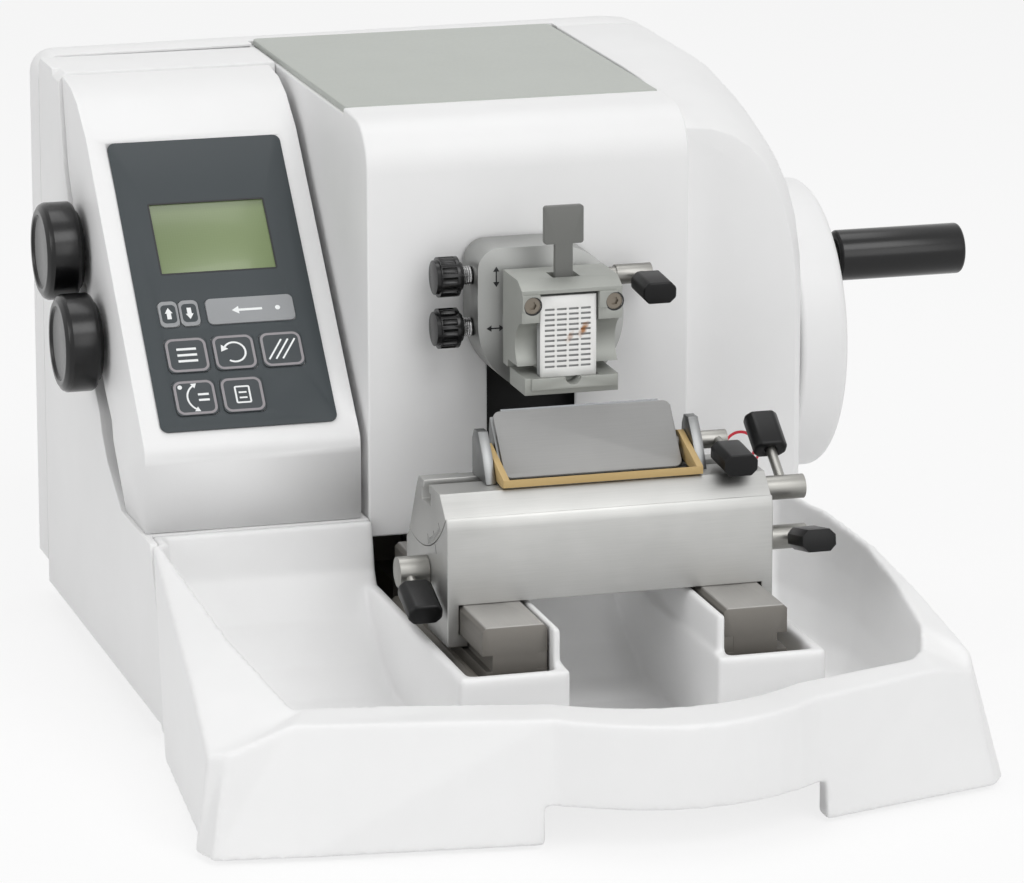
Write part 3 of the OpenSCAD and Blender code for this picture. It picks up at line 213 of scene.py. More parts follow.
@dataclass(frozen=True)
class Metal:
    """Bare or anodised metal whose fine lines run one way, with a few broader tone changes."""

    name: str
    colour: str
    roughness: float
    lay: Lay
    line_mm: float = 0.35
    contrast: float = 0.06
    depth_mm: float = 0.02
    bare: float = 1.0
    gloss_spread: float = 0.08
    cloud_scale: float = 35.0

    def build(self) -> bpy.types.Material:
        """Returns the finish as a material on Object coordinates."""
        material, tree, shader, coord = blank_material(self.name)
        stretch = add(tree, "ShaderNodeMapping", {"Vector": coord, "Scale": self.lay.value})
        lines = add(tree, "ShaderNodeTexNoise",
                    {"Vector": stretch.outputs[0], "Scale": 1.0 / (self.line_mm * MM), "Detail": 3.0,
                     "Roughness": 0.65})
        cloud = add(tree, "ShaderNodeTexNoise", {"Vector": coord, "Scale": self.cloud_scale, "Detail": 2.0})
        base = linear(self.colour)
        tone = add(tree, "ShaderNodeMath", {0: lines.outputs[0], 1: cloud.outputs[0]}, operation="ADD")
        span = add(tree, "ShaderNodeMapRange", {"Value": tone.outputs[0], "From Min": 0.7, "From Max": 1.3})
        dark, pale = scaled(base, 1 - self.contrast), scaled(base, 1 + self.contrast)
        tint = add(tree, "ShaderNodeMix", {"Factor": span.outputs[0], COLOUR_A: dark, COLOUR_B: pale},
                   data_type="RGBA")
        gloss = add(tree, "ShaderNodeMapRange", {"Value": lines.outputs[0],
                                                 "To Min": self.roughness - self.gloss_spread,
                                                 "To Max": self.roughness + self.gloss_spread})
        bump = add(tree, "ShaderNodeBump", {"Height": lines.outputs[0], "Strength": 0.4,
                                            "Distance": self.depth_mm * MM})
        feed(tree, shader, {"Base Color": tint.outputs[COLOUR_OUT], "Roughness": gloss.outputs[0],
                            "Normal": bump.outputs[0], "Metallic": self.bare})
        return material


@dataclass(frozen=True)
class Display:
    """Liquid crystal display: olive glass, paler low on the right, shaded at the top, with a grid of dots."""

    name: str = "olive_lcd_glass"
    dark: str = "#6a7853"
    pale: str = "#7d8d62"
    dot_line: str = "#94a379"
    painted_shade: str = "#4a553b"
    slant_m: tuple[float, float] = (-0.46, -0.34)
    dot_mm: float = 0.7
    line_share: float = 0.12
    line_cover: float = 0.10
    top_mm: float = 244.7
    shade_mm: float = 7.0
    shade_cover: float = 0.55

    def build(self) -> bpy.types.Material:
        """Returns the display as a material whose pattern follows the slope of the panel."""
        material, tree, shader, coord = blank_material(self.name)
        across, upward = (
            add(tree, "ShaderNodeVectorMath", {0: coord, 1: axis}, operation="DOT_PRODUCT").outputs["Value"]
            for axis in ((1.0, 0.0, 0.0), (0.0, math.cos(PANEL_TILT), math.sin(PANEL_TILT))))
        slant = add(tree, "ShaderNodeMath", {0: across, 1: upward}, operation="SUBTRACT")
        ramp = add(tree, "ShaderNodeMapRange", {"Value": slant.outputs[0], "From Min": self.slant_m[0],
                                                "From Max": self.slant_m[1]}, interpolation_type="SMOOTHSTEP")
        tint = add(tree, "ShaderNodeMix", {"Factor": ramp.outputs[0], COLOUR_A: linear(self.dark),
                                           COLOUR_B: linear(self.pale)}, data_type="RGBA")
        lines = []
        for axis in (across, upward):
            wave = add(tree, "ShaderNodeMath", {0: axis, 1: self.dot_mm * MM}, operation="PINGPONG")
            thin = self.line_share * self.dot_mm * MM
            lines.append(add(tree, "ShaderNodeMath", {0: wave.outputs[0], 1: thin},
                             operation="LESS_THAN").outputs[0])
        grid = add(tree, "ShaderNodeMath", {0: lines[0], 1: lines[1]}, operation="MAXIMUM")
        faint = add(tree, "ShaderNodeMath", {0: grid.outputs[0], 1: self.line_cover}, operation="MULTIPLY")
        dotted = add(tree, "ShaderNodeMix", {"Factor": faint.outputs[0], COLOUR_A: tint.outputs[COLOUR_OUT],
                                             COLOUR_B: linear(self.dot_line)}, data_type="RGBA")
        under_rim = add(tree, "ShaderNodeMapRange",
                        {"Value": upward, "From Min": (self.top_mm - self.shade_mm) * MM,
                         "From Max": self.top_mm * MM, "To Max": self.shade_cover},
                        interpolation_type="SMOOTHSTEP")
        glass = add(tree, "ShaderNodeMix",
                    {"Factor": under_rim.outputs[0], COLOUR_A: dotted.outputs[COLOUR_OUT],
                     COLOUR_B: linear(self.painted_shade)}, data_type="RGBA")
        feed(tree, shader, {"Base Color": glass.outputs[COLOUR_OUT], "Roughness": 0.32, "IOR": 1.49,
                            "Coat Weight": 0.15, "Coat Roughness": 0.08})
        return material


@dataclass(frozen=True)
class Smear:
    """One trace of the specimen: centre and half axes in mm, lean in degrees, and how much it covers."""

    x: float
    z: float
    half_long: float
    half_wide: float
    lean_deg: float
    cover: float


@dataclass(frozen=True)
class StainedCassette:
    """White acetal of a tissue cassette, with painted shade deep in its slots and the brown smears of a
    specimen on it.
    """

    face_y: float
    name: str = "white_acetal_cassette"
    colour: str = "#ececea"
    # painted shade: the grey that stands in for the shade deep in the slots
    painted_shade: str = "#8f9192"
    stain: str = "#a8713c"
    smear_y: float = -72.0
    slot_mm: tuple[float, float] = (0.3, 0.9)
    smears: tuple[Smear, ...] = (Smear(4.6, 207.2, 4.6, 2.1, 60.0, 0.95),
                                 Smear(-2.6, 203.4, 3.4, 1.8, 60.0, 0.5))

    def build(self) -> bpy.types.Material:
        """Returns the cassette's plastic with the painted shade in its slots and its smears."""
        material, tree, shader, coord = blank_material(self.name)
        noise = add(tree, "ShaderNodeTexNoise", {"Vector": coord, "Scale": 420.0, "Detail": 4.0})
        covers = [self.smear(tree, coord, noise.outputs[0], one) for one in self.smears]
        cover = add(tree, "ShaderNodeMath", {0: covers[0], 1: covers[1]}, operation="MAXIMUM")
        axes = add(tree, "ShaderNodeSeparateXYZ", {0: coord})
        start, end = (self.face_y + depth * MM for depth in self.slot_mm)
        # painted shade: darker the deeper a point lies in a slot
        deep = add(tree, "ShaderNodeMapRange",
                   {"Value": axes.outputs["Y"], "From Min": start, "From Max": end, "To Max": 0.85})
        painted_slot_shade = add(tree, "ShaderNodeMix", {"Factor": deep.outputs[0], COLOUR_A: linear(self.colour),
                                              COLOUR_B: linear(self.painted_shade)}, data_type="RGBA")
        tint = add(tree, "ShaderNodeMix", {"Factor": cover.outputs[0], COLOUR_A: painted_slot_shade.outputs[COLOUR_OUT],
                                           COLOUR_B: linear(self.stain)}, data_type="RGBA")
        fine = add(tree, "ShaderNodeTexNoise", {"Vector": coord, "Scale": 2500.0})
        bump = add(tree, "ShaderNodeBump", {"Height": fine.outputs[0], "Strength": 0.3, "Distance": 0.00002})
        feed(tree, shader, {"Base Color": tint.outputs[COLOUR_OUT], "Normal": bump.outputs[0],
                            "Roughness": 0.42})
        return material

    def smear(self, tree: bpy.types.NodeTree, coord: bpy.types.NodeSocket, noise: bpy.types.NodeSocket,
              one: Smear) -> bpy.types.NodeSocket:
        """Returns how much one ragged oval smear covers.

        Args:
            tree: the material's node tree.
            coord: the object coordinates.
            noise: a noise value that frays the edge.
            one: the smear.

        Returns:
            The socket of its cover, 0 outside it.
        """
        oval = add(tree, "ShaderNodeMapping",
                   {"Vector": coord, "Location": mm(one.x, self.smear_y, one.z),
                    "Rotation": (0.0, -math.radians(one.lean_deg), 0.0),
                    "Scale": (one.half_long * MM, 1.0, one.half_wide * MM)}, vector_type="TEXTURE")
        far = add(tree, "ShaderNodeVectorMath", {0: oval.outputs[0]}, operation="LENGTH")
        ragged = add(tree, "ShaderNodeMath", {0: noise, 1: 0.9, 2: far.outputs["Value"]},
                     operation="MULTIPLY_ADD")
        return add(tree, "ShaderNodeMapRange", {"Value": ragged.outputs[0], "From Min": 0.8, "From Max": 1.5,
                                                "To Min": one.cover, "To Max": 0.0}).outputs[0]


@dataclass(frozen=True)
class GroundRail:
    """Oiled carbon steel with grinding lines along Y: the top painted pale, as lit from above, and the milled
    sides painted dark, as in shade.
    """

    top_z: float
    name: str = "oiled_ground_steel"
    # painted light: the paler colour of the top stands in for the light that falls on it
    painted_lit_top: str = "#a19f9c"
    # painted shade: the darker colour of the sides stands in for their shade
    milled: str = "#716e69"
    line_mm: float = 0.6
    fade_mm: tuple[float, float] = (0.7, 0.2)

    def build(self) -> bpy.types.Material:
        """Returns the steel, with painted light on its top and painted shade on its sides."""
        material, tree, shader, coord = blank_material(self.name)
        axes = add(tree, "ShaderNodeSeparateXYZ", {0: coord})
        # painted light and shade: paler on the top face, darker down the sides
        start, end = (self.top_z - depth * MM for depth in self.fade_mm)
        top = add(tree, "ShaderNodeMapRange",
                  {"Value": axes.outputs["Z"], "From Min": start, "From Max": end})
        lines = add(tree, "ShaderNodeMapping", {"Vector": coord, "Scale": Lay.Y.value})
        noise = add(tree, "ShaderNodeTexNoise",
                    {"Vector": lines.outputs[0], "Scale": 1.0 / (self.line_mm * MM)})
        tint = add(tree, "ShaderNodeMix", {"Factor": top.outputs[0], COLOUR_A: linear(self.milled),
                                           COLOUR_B: linear(self.painted_lit_top)}, data_type="RGBA")
        rough = add(tree, "ShaderNodeMapRange", {"Value": noise.outputs[0], "To Min": 0.38, "To Max": 0.54})
        bump = add(tree, "ShaderNodeBump", {"Height": noise.outputs[0], "Strength": 0.3, "Distance": 0.00003})
        feed(tree, shader, {"Base Color": tint.outputs[COLOUR_OUT], "Roughness": rough.outputs[0],
                            "Normal": bump.outputs[0], "Metallic": 0.75})
        return material


@dataclass(frozen=True)
class LacqueredCasting:
    """Grey enamelled iron, lacquered white on the flank that shows beside the tray."""

    name: str = "grey_enamelled_iron_with_white_flank"
    iron: str = "#8f8b84"
    lacquer: str = "#e4e4e4"
    peel_mm: float = 2.2
    flank_x: float = 126.0
    fade_mm: float = 0.2

    def build(self) -> bpy.types.Material:
        """Returns the iron with its white flank."""
        material, tree, shader, coord = blank_material(self.name)
        axes = add(tree, "ShaderNodeSeparateXYZ", {0: coord})
        edge = mm(self.flank_x, 0, 0).x
        flank = add(tree, "ShaderNodeMapRange", {"Value": axes.outputs["X"], "From Min": edge,
                                                 "From Max": edge + self.fade_mm * MM})
        peel = add(tree, "ShaderNodeTexNoise", {"Vector": coord, "Scale": 1.0 / (self.peel_mm * MM)})
        tint = add(tree, "ShaderNodeMix", {"Factor": flank.outputs[0], COLOUR_A: linear(self.iron),
                                           COLOUR_B: linear(self.lacquer)}, data_type="RGBA")
        bump = add(tree, "ShaderNodeBump", {"Height": peel.outputs[0], "Strength": 0.5, "Distance": 0.0001})
        feed(tree, shader, {"Base Color": tint.outputs[COLOUR_OUT], "Normal": bump.outputs[0],
                            "Roughness": 0.5})
        return material


class Finishes:
    """Every finish of the machine, built once."""

    def __init__(self) -> None:
        """Builds the materials."""
        # ABS shells moulded against a spark-eroded tool: white, with a grain that shows in grazing light
        self.shell = Moulding("white_abs_grained", "#f0f0f0", 0.48, 1.0, 0.05, 0.012).build()
        # The same ABS on the slide-out tray, a little glossier from wiping
        self.tray = Moulding("white_abs_tray", "#f1f1f1", 0.42, 1.0, 0.04, 0.012).build()
        # Polyester keypad film, printed dark grey from behind: an even satin
        self.film = Moulding("dark_polyester_film", "#3d4346", 0.5, 0.5, 0.02, 0.02, 0.3).build()
        self.key_film = Moulding("grey_polyester_key", "#414649", 0.46, 0.5, 0.02, 0.02, 0.3).build()
        self.pale_film = Moulding("pale_polyester_key", "#989a9c", 0.48, 0.5, 0.02, 0.02, 0.3).build()
        # Screen ink on film and metal: flat and matt
        self.pale_ink = Moulding("pale_screen_ink", "#938f92", 0.6, 0.4, 0.01, 0.01).build()
        self.white_ink = Moulding("white_screen_ink", "#eef0f0", 0.6, 0.4, 0.01, 0.01).build()
        self.dark_ink = Moulding("dark_screen_ink", "#222325", 0.6, 0.4, 0.01, 0.01).build()
        self.red_ink = Moulding("red_screen_ink", "#c8283a", 0.55, 0.4, 0.01, 0.02).build()
        # Phenolic knobs and nylon handles: near black, with a tight highlight on the phenolic
        self.knob = Moulding("black_phenolic", "#0b0b0c", 0.24, 0.8, 0.004, 0.08, 0.4).build()
        self.handle = Moulding("black_nylon", "#0e0e0f", 0.36, 0.5, 0.03, 0.08, 0.25).build()
        # Feet, inlet and slot shield: rubber and engineering plastics, dull black
        self.rubber = Moulding("black_rubber", "#1d1d1d", 0.75, 0.8, 0.05, 0.08).build()
        self.socket = Moulding("black_pbt_inlet", "#202022", 0.5, 0.5, 0.03, 0.05).build()
        self.shield = Moulding("black_acetal", "#0d0d0e", 0.6, 0.5, 0.02, 0.05).build()
        # Stove enamel on the top plate and the T lever: grey-green and grey, with faint orange peel
        self.enamel = Moulding("grey_green_enamel", "#b0b4ae", 0.44, 1.6, 0.03, 0.02).build()
        self.lever_enamel = Moulding("grey_enamel", "#71726f", 0.46, 1.0, 0.03, 0.02, 0.3).build()
        # Enamelled grey iron of the base, whose flank beside the tray has the white lacquer of the housing
        self.base = LacqueredCasting().build()
        # The same enamelled iron on the frame inside
        self.casting = Moulding("grey_enamelled_iron", "#8f8b84", 0.5, 2.2, 0.12, 0.06).build()
        # Hard-coated aluminium of the knife holder, brushed lengthwise, and of the specimen head, blasted
        self.holder = Metal("brushed_hard_anodised_aluminium", "#b0b0ae", 0.46, Lay.X, 0.5, 0.07).build()
        self.head = Metal("blasted_anodised_aluminium", "#a9aaa8", 0.46, Lay.BLASTED, 0.4, 0.05).build()
        # Clamp and jaw: aluminium under a thick grey anodised layer, so it is nearly matt
        self.clamp = Metal("grey_anodised_aluminium", "#9c9e99", 0.5, Lay.BLASTED, 0.5, 0.04,
                           bare=0.35).build()
        # Pressure plate: ground steel under a grey hard coat, nearly matt, which shows little of the room
        self.plate = Metal("grey_coated_ground_steel", "#8f8f8e", 0.5, Lay.X, 0.5, 0.05, bare=0.3).build()
        # Carbon steel rails, oiled, with grinding lines along the sliding top; the top is painted pale as lit
        # and the milled sides dark and warm as in shade
        self.rail = GroundRail(top_z=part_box("guide_rails")[1][2]).build()
        # Blade holder: milled steel, darker than the aluminium round it
        self.milled = Metal("milled_tool_steel", "#7f8080", 0.36, Lay.X, 0.4, 0.06).build()
        # Lever bosses and cheeks: turned aluminium, satin
        self.boss = Metal("satin_turned_aluminium", "#969591", 0.42, Lay.X, 0.4, 0.05).build()
        # Turned stainless rods, browned and zinc plated screws
        self.rod = Metal("turned_stainless_steel", "#c6c6c6", 0.26, Lay.X, 0.35, 0.06).build()
        self.dark_screw = Metal("browned_steel_screw", "#7d766c", 0.36, Lay.BLASTED, 0.3, 0.08).build()
        self.screw = Metal("zinc_plated_screw", "#b4b4b2", 0.30, Lay.BLASTED, 0.3, 0.08).build()
        # Disposable blade: honed steel, grey and even
        self.blade = Metal("honed_blade_steel", "#76787a", 0.34, Lay.X, 0.3, 0.04).build()
        # Tan acetal of the knife guard
        self.guard = Moulding("tan_acetal", "#c2a671", 0.46, 0.7, 0.03, 0.04, 0.35).build()
        # Cassette and display have patterns of their own, and painted shade in the cassette's slots and under
        # the top of the display window
        self.cassette = StainedCassette(face_y=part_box("cassette")[0][1]).build()
        self.lcd = Display().build()


# MESH HELPERS

def put(name: str, data: bpy.types.ID) -> bpy.types.Object:
    """Makes an object of a mesh, lamp or camera and links it to the scene."""
    obj = bpy.data.objects.new(name, data)
    bpy.context.scene.collection.objects.link(obj)
    return obj


def harden(obj: bpy.types.Object) -> bmesh.types.BMesh:
    """Returns what an object's modifiers make of its mesh, and deletes the object."""
    bpy.context.view_layer.update()
    result = bpy.data.meshes.new_from_object(obj.evaluated_get(bpy.context.evaluated_depsgraph_get()))
    obj.modifiers.clear()
    bpy.data.objects.remove(obj)
    bm = bmesh.new()
    bm.from_mesh(result)
    return bm


def link_piece(name: str, bm: bmesh.types.BMesh, material: bpy.types.Material, body: str,
               sharp_deg: float = SMALL_HARD_DEG) -> bpy.types.Object:
    """Turns a mesh in the making into a piece that rides on a body.

    Args:
        name: the piece's name.
        bm: its mesh, in metres in the frame; it is freed.
        material: its finish.
        body: the CAD body that it rides on.
        sharp_deg: edges sharper than this stay sharp.

    Returns:
        The new object.
    """
    mesh = bpy.data.meshes.new(name)
    bm.to_mesh(mesh)
    bm.free()
    mesh.polygons.foreach_set("use_smooth", [True] * len(mesh.polygons))
    mesh.set_sharp_from_angle(angle=math.radians(sharp_deg))
    mesh.materials.append(material)
    obj = put(name, mesh)
    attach(obj, body)
    log.info("%s: %d faces on %s", name, len(mesh.polygons), body)
    return obj


def bevel(bm: bmesh.types.BMesh, edges: Sequence[bmesh.types.BMEdge], radius_mm: float,
          segments: int) -> None:
    """Rounds some edges of a mesh.

    Args:
        bm: the mesh.
        edges: the edges.
        radius_mm: how round they become.
        segments: how many faces make the round.
    """
    bmesh.ops.bevel(bm, geom=edges, offset=radius_mm * MM, offset_type="OFFSET", segments=segments,
                    profile=0.5, affect="EDGES", clamp_overlap=True)


def slab(polygons: Outlines, low: float, high: float, place: Place) -> bmesh.types.BMesh:
    """Closed flat bodies from outlines that may share edges.

    Args:
        polygons: counter-clockwise outlines in millimetres.
        low: height of the underside.
        high: height of the top.
        place: puts (u, v, height) into the frame.

    Returns:
        The mesh.
    """
    bm = bmesh.new()
    spots: dict[Point2, tuple[bmesh.types.BMVert, bmesh.types.BMVert]] = {}
    rims: dict[tuple[Point2, Point2], bool] = {}

    def pair(p: Point2) -> Point2:
        """Makes a point's two vertices once, and returns the key that they are kept under."""
        key = (round(p[0], 4), round(p[1], 4))
        if key not in spots:
            spots[key] = (bm.verts.new(place(p[0], p[1], low)), bm.verts.new(place(p[0], p[1], high)))
        return key

    for outline in polygons:
        keys = [pair(p) for p in outline]
        bm.faces.new([spots[k][1] for k in keys])
        bm.faces.new([spots[k][0] for k in reversed(keys)])
        rims.update({rim: True for rim in zip(keys, keys[1:] + keys[:1])})
    for a, b in rims:
        if (b, a) not in rims:
            bm.faces.new([spots[a][0], spots[b][0], spots[b][1], spots[a][1]])
    bmesh.ops.recalc_face_normals(bm, faces=bm.faces)
    return bm


def arc(cx: float, cy: float, r: float, a0: float, a1: float, n: int) -> list[Point2]:
    """Returns n + 1 points along an arc, angles in degrees."""
    return [(cx + r * math.cos(math.radians(a0 + (a1 - a0) * i / n)),
             cy + r * math.sin(math.radians(a0 + (a1 - a0) * i / n))) for i in range(n + 1)]


def rounded(cx: float, cy: float, w: float, h: float, r: float, n: int = 6) -> list[Point2]:
    """Returns the outline of a rectangle with round corners."""
    points: list[Point2] = []
    for sx, sy, a in ((1, 1, 0), (-1, 1, 90), (-1, -1, 180), (1, -1, 270)):
        points += arc(cx + sx * (w / 2 - r), cy + sy * (h / 2 - r), r, a, a + 90, n)
    return points


def strip(outer: Sequence[Point2], inner: Sequence[Point2], closed: bool = True) -> list[list[Point2]]:
    """Returns the four-sided pieces between two outlines with the same number of points."""
    n = len(outer)
    last = n if closed else n - 1
    return [[outer[i], outer[(i + 1) % n], inner[(i + 1) % n], inner[i]] for i in range(last)]


def frame_of(cx: float, cy: float, w: float, h: float, r: float, line: float) -> list[list[Point2]]:
    """Returns a round-cornered outline drawn as a line of some width."""
    return strip(rounded(cx, cy, w, h, r), rounded(cx, cy, w - 2 * line, h - 2 * line, max(r - line, 0.2)))


def bow(cx: float, cy: float, r: float, a0: float, a1: float, line: float, n: int = 20) -> list[list[Point2]]:
    """Returns a curved line of some width along an arc."""
    return strip(arc(cx, cy, r + line / 2, a0, a1, n), arc(cx, cy, r - line / 2, a0, a1, n), False)


def dot(cx: float, cy: float, r: float) -> list[Point2]:
    """Returns the outline of a small round spot."""
    return arc(cx, cy, r, 0, 345, 23)


def tip(x: float, y: float, heading: float, size: float) -> list[Point2]:
    """Returns an arrow head whose base is at (x, y) and which points along the heading, in degrees."""
    c, s = math.cos(math.radians(heading)), math.sin(math.radians(heading))
    local = [(0.0, -size * 0.62), (size, 0.0), (0.0, size * 0.62)]
    return [(x + c * u - s * v, y + s * u + c * v) for u, v in local]


def bar(x0: float, y0: float, x1: float, y1: float, line: float) -> list[Point2]:
    """Returns a straight line of some width as an outline."""
    length = math.hypot(x1 - x0, y1 - y0)
    nx, ny = -(y1 - y0) / length * line / 2, (x1 - x0) / length * line / 2
    return [(x0 - nx, y0 - ny), (x1 - nx, y1 - ny), (x1 + nx, y1 + ny), (x0 + nx, y0 + ny)]


@dataclass(frozen=True)
class EdgeRule:
    """Which edges of a solid are rounded, and how much."""

    radius_mm: float
    segments: int = 2
    angle_deg: float = 40.0
    where: Callable[[Vector], bool] | None = None


class Dresser:
    """Gives CAD nodes their finish, or stands a copy with rounded edges in for them."""

    def __init__(self, frame: dict) -> None:
        """Keeps the frame's nodes, which body each is on, and its material slot.
        """
        self.nodes: dict[str, bpy.types.Object] = frame["nodes"]
        self.body = {n: b for b, names in frame["record"]["behaviour"]["bodies"].items() for n in names}
        self.slot = {s["node"]: s["material_slot"] for s in frame["record"]["subparts"]}

    def merged(self, node: str) -> bmesh.types.BMesh:
        """Returns a copy of a node's mesh with its triangles joined and its flat faces made whole."""
        bm = bmesh.new()
        bm.from_mesh(self.nodes[node].data)
        bmesh.ops.remove_doubles(bm, verts=bm.verts, dist=2e-6)
        bmesh.ops.dissolve_limit(bm, angle_limit=math.radians(0.6), verts=bm.verts, edges=bm.edges)
        return bm

    def stand_in(self, node: str, bm: bmesh.types.BMesh, material: bpy.types.Material,
                 sharp_deg: float = SOLID_HARD_DEG) -> None:
        """Makes a mesh the piece that is shown instead of a node.

        Args:
            node: the CAD node.
            bm: the mesh; it is freed.
            material: its finish.
            sharp_deg: edges sharper than this keep a hard line.
        """
        obj = link_piece(f"{node}_finished", bm, material, self.body[node], sharp_deg)
        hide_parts(node)

    def soften(self, node: str, material: bpy.types.Material, rule: EdgeRule) -> None:
        """Stands a copy with rounded edges in for a node.

        Args:
            node: the CAD node.
            material: its finish.
            rule: which edges are rounded.
        """
        bm = self.merged(node)
        edges = [e for e in bm.edges if len(e.link_faces) == 2
                 and e.calc_face_angle(0.0) > math.radians(rule.angle_deg)
                 and (rule.where is None or all(rule.where(v.co) for v in e.verts))]
        bevel(bm, edges, rule.radius_mm, rule.segments)
        bmesh.ops.triangulate(bm, faces=[f for f in bm.faces if len(f.verts) > 4])
        self.stand_in(node, bm, material)

    def melt(self, node: str, material: bpy.types.Material, voxel_mm: float, passes: int,
             ratio: float) -> None:
        """Stands in a copy with every edge rounded, as a deep moulding has, by a voxel skin and smoothing.

        Args:
            node: the CAD node.
            material: its finish.
            voxel_mm: size of the skin's cells.
            passes: rounds of smoothing.
            ratio: share of the faces that is kept.
        """
        source = self.merged(node)
        mesh = bpy.data.meshes.new(node + "_skin")
        source.to_mesh(mesh)
        source.free()
        obj = put(node + "_skin", mesh)
        skin = obj.modifiers.new("skin", "REMESH")
        skin.mode = "VOXEL"
        skin.voxel_size = voxel_mm * MM
        relax = obj.modifiers.new("relax", "SMOOTH")
        relax.factor = 0.5
        relax.iterations = passes
        thin = obj.modifiers.new("thin", "DECIMATE")
        thin.ratio = ratio
        self.stand_in(node, harden(obj), material, 60.0)

    def paint(self, node: str, material: bpy.types.Material) -> None:
        """Gives a node that stays as it is its finish."""
        data = self.nodes[node].data
        data.materials.clear()
        data.materials.append(material)


# GEOMETRY NODES FOR WHAT REPEATS

def open_tree(name: str, inputs: dict[str, str]) -> tuple[bpy.types.NodeTree, bpy.types.Node]:
    """Starts a node tree that takes points, named sizes and a finish.

    Args:
        name: the tree's name.
        inputs: the kind of number of each size, by its name.

    Returns:
        The tree and its input node.
    """
    tree = bpy.data.node_groups.new(name, "GeometryNodeTree")
    for label, kind in {"Geometry": "Geometry", **inputs, "Finish": "Material"}.items():
        tree.interface.new_socket(label, in_out="INPUT", socket_type=f"NodeSocket{kind}")
    tree.interface.new_socket("Geometry", in_out="OUTPUT", socket_type="NodeSocketGeometry")
    return tree, add(tree, "NodeGroupInput")


def close_tree(tree: bpy.types.NodeTree, entry: bpy.types.Node, made: bpy.types.NodeSocket) -> None:
    """Ends a node tree: instances become real and take the finish.

    Args:
        tree: the node tree.
        entry: its input node.
        made: the geometry so far.
    """
    real = add(tree, "GeometryNodeRealizeInstances", {"Geometry": made})
    done = add(tree, "GeometryNodeSetMaterial", {"Geometry": real.outputs[0],
                                                 "Material": entry.outputs["Finish"]})
    add(tree, "NodeGroupOutput", {0: done.outputs[0]})


def grow(name: str, tree: bpy.types.NodeTree, values: dict, seats: Sequence[tuple[Vector, Vector]],
         material: bpy.types.Material, body: str) -> None:
    """Runs a node tree on a set of points and keeps the result as a plain mesh.

    Args:
        name: the piece's name.
        tree: the node tree.
        values: its inputs by name.
        seats: a place and an axis for each point.
        material: the finish.
        body: the CAD body that the piece rides on.
    """
    mesh = bpy.data.meshes.new(name + "_points")
    mesh.from_pydata([tuple(p) for p, _ in seats], [], [])
    field = mesh.attributes.new("axis", "FLOAT_VECTOR", "POINT")
    for i, (_, axis) in enumerate(seats):
        field.data[i].vector = axis
    obj = put(name + "_points", mesh)
    modifier = obj.modifiers.new("grow", "NODES")
    modifier.node_group = tree
    sockets = {s.name: s.identifier for s in tree.interface.items_tree
               if s.item_type == "SOCKET" and s.in_out == "INPUT"}
    for label, value in {**values, "Finish": material}.items():
        modifier[sockets[label]] = value
    link_piece(name, harden(obj), material, body)


class Recess(Enum):
    """The recess in a screw's head, as its number of sides."""

    HEX = 6
    CROSS = 4


@dataclass(frozen=True)
class ScrewSet:
    """Screws of one kind on one body, made by a node tree from points that carry their axes."""

    name: str
    body: str
    head_mm: float
    height_mm: float
    recess_mm: float
    recess: Recess
    axis: Point3
    spots: tuple[Point3, ...]

    def tree(self) -> bpy.types.NodeTree:
        """Returns the node tree: a head with its recess on each point, turned to the point's axis."""
        tree, entry = open_tree(self.name + "_tree", {"Head Radius": "Float", "Head Height": "Float",
                                                      "Recess Radius": "Float"})
        head = add(tree, "GeometryNodeMeshCylinder", {"Vertices": 32, "Radius": entry.outputs["Head Radius"],
                                                      "Depth": entry.outputs["Head Height"]})
        recess = add(tree, "GeometryNodeMeshCylinder",
                     {"Vertices": self.recess.value, "Radius": entry.outputs["Recess Radius"],
                      "Depth": entry.outputs["Head Height"]})
        lift = add(tree, "ShaderNodeMath", {0: entry.outputs["Head Height"], 1: 0.4}, operation="MULTIPLY")
        up = add(tree, "ShaderNodeCombineXYZ", {"Z": lift.outputs[0]})
        raised = add(tree, "GeometryNodeTransform", {"Geometry": recess.outputs["Mesh"],
                                                     "Translation": up.outputs[0]})
        cut = add(tree, "GeometryNodeMeshBoolean", {"Mesh 1": head.outputs["Mesh"],
                                                    "Mesh 2": raised.outputs[0]}, operation="DIFFERENCE")
        axis = add(tree, "GeometryNodeInputNamedAttribute", {"Name": "axis"}, data_type="FLOAT_VECTOR")
        turn = add(tree, "FunctionNodeAlignRotationToVector", {"Vector": axis.outputs[0]}, axis="Z")
        points = add(tree, "GeometryNodeInstanceOnPoints",
                     {"Points": entry.outputs["Geometry"], "Instance": cut.outputs["Mesh"],
                      "Rotation": turn.outputs[0]})
        close_tree(tree, entry, points.outputs[0])
        return tree

    def build(self, material: bpy.types.Material) -> None:
        """Makes the screws as one plain mesh.

        Args:
            material: the screws' finish.
        """
        values = {"Head Radius": self.head_mm / 2 * MM, "Head Height": self.height_mm * MM,
                  "Recess Radius": self.recess_mm / 2 * MM}
        seats = [(mm(*spot), Vector(self.axis)) for spot in self.spots]
        grow(self.name, self.tree(), values, seats, material, self.body)


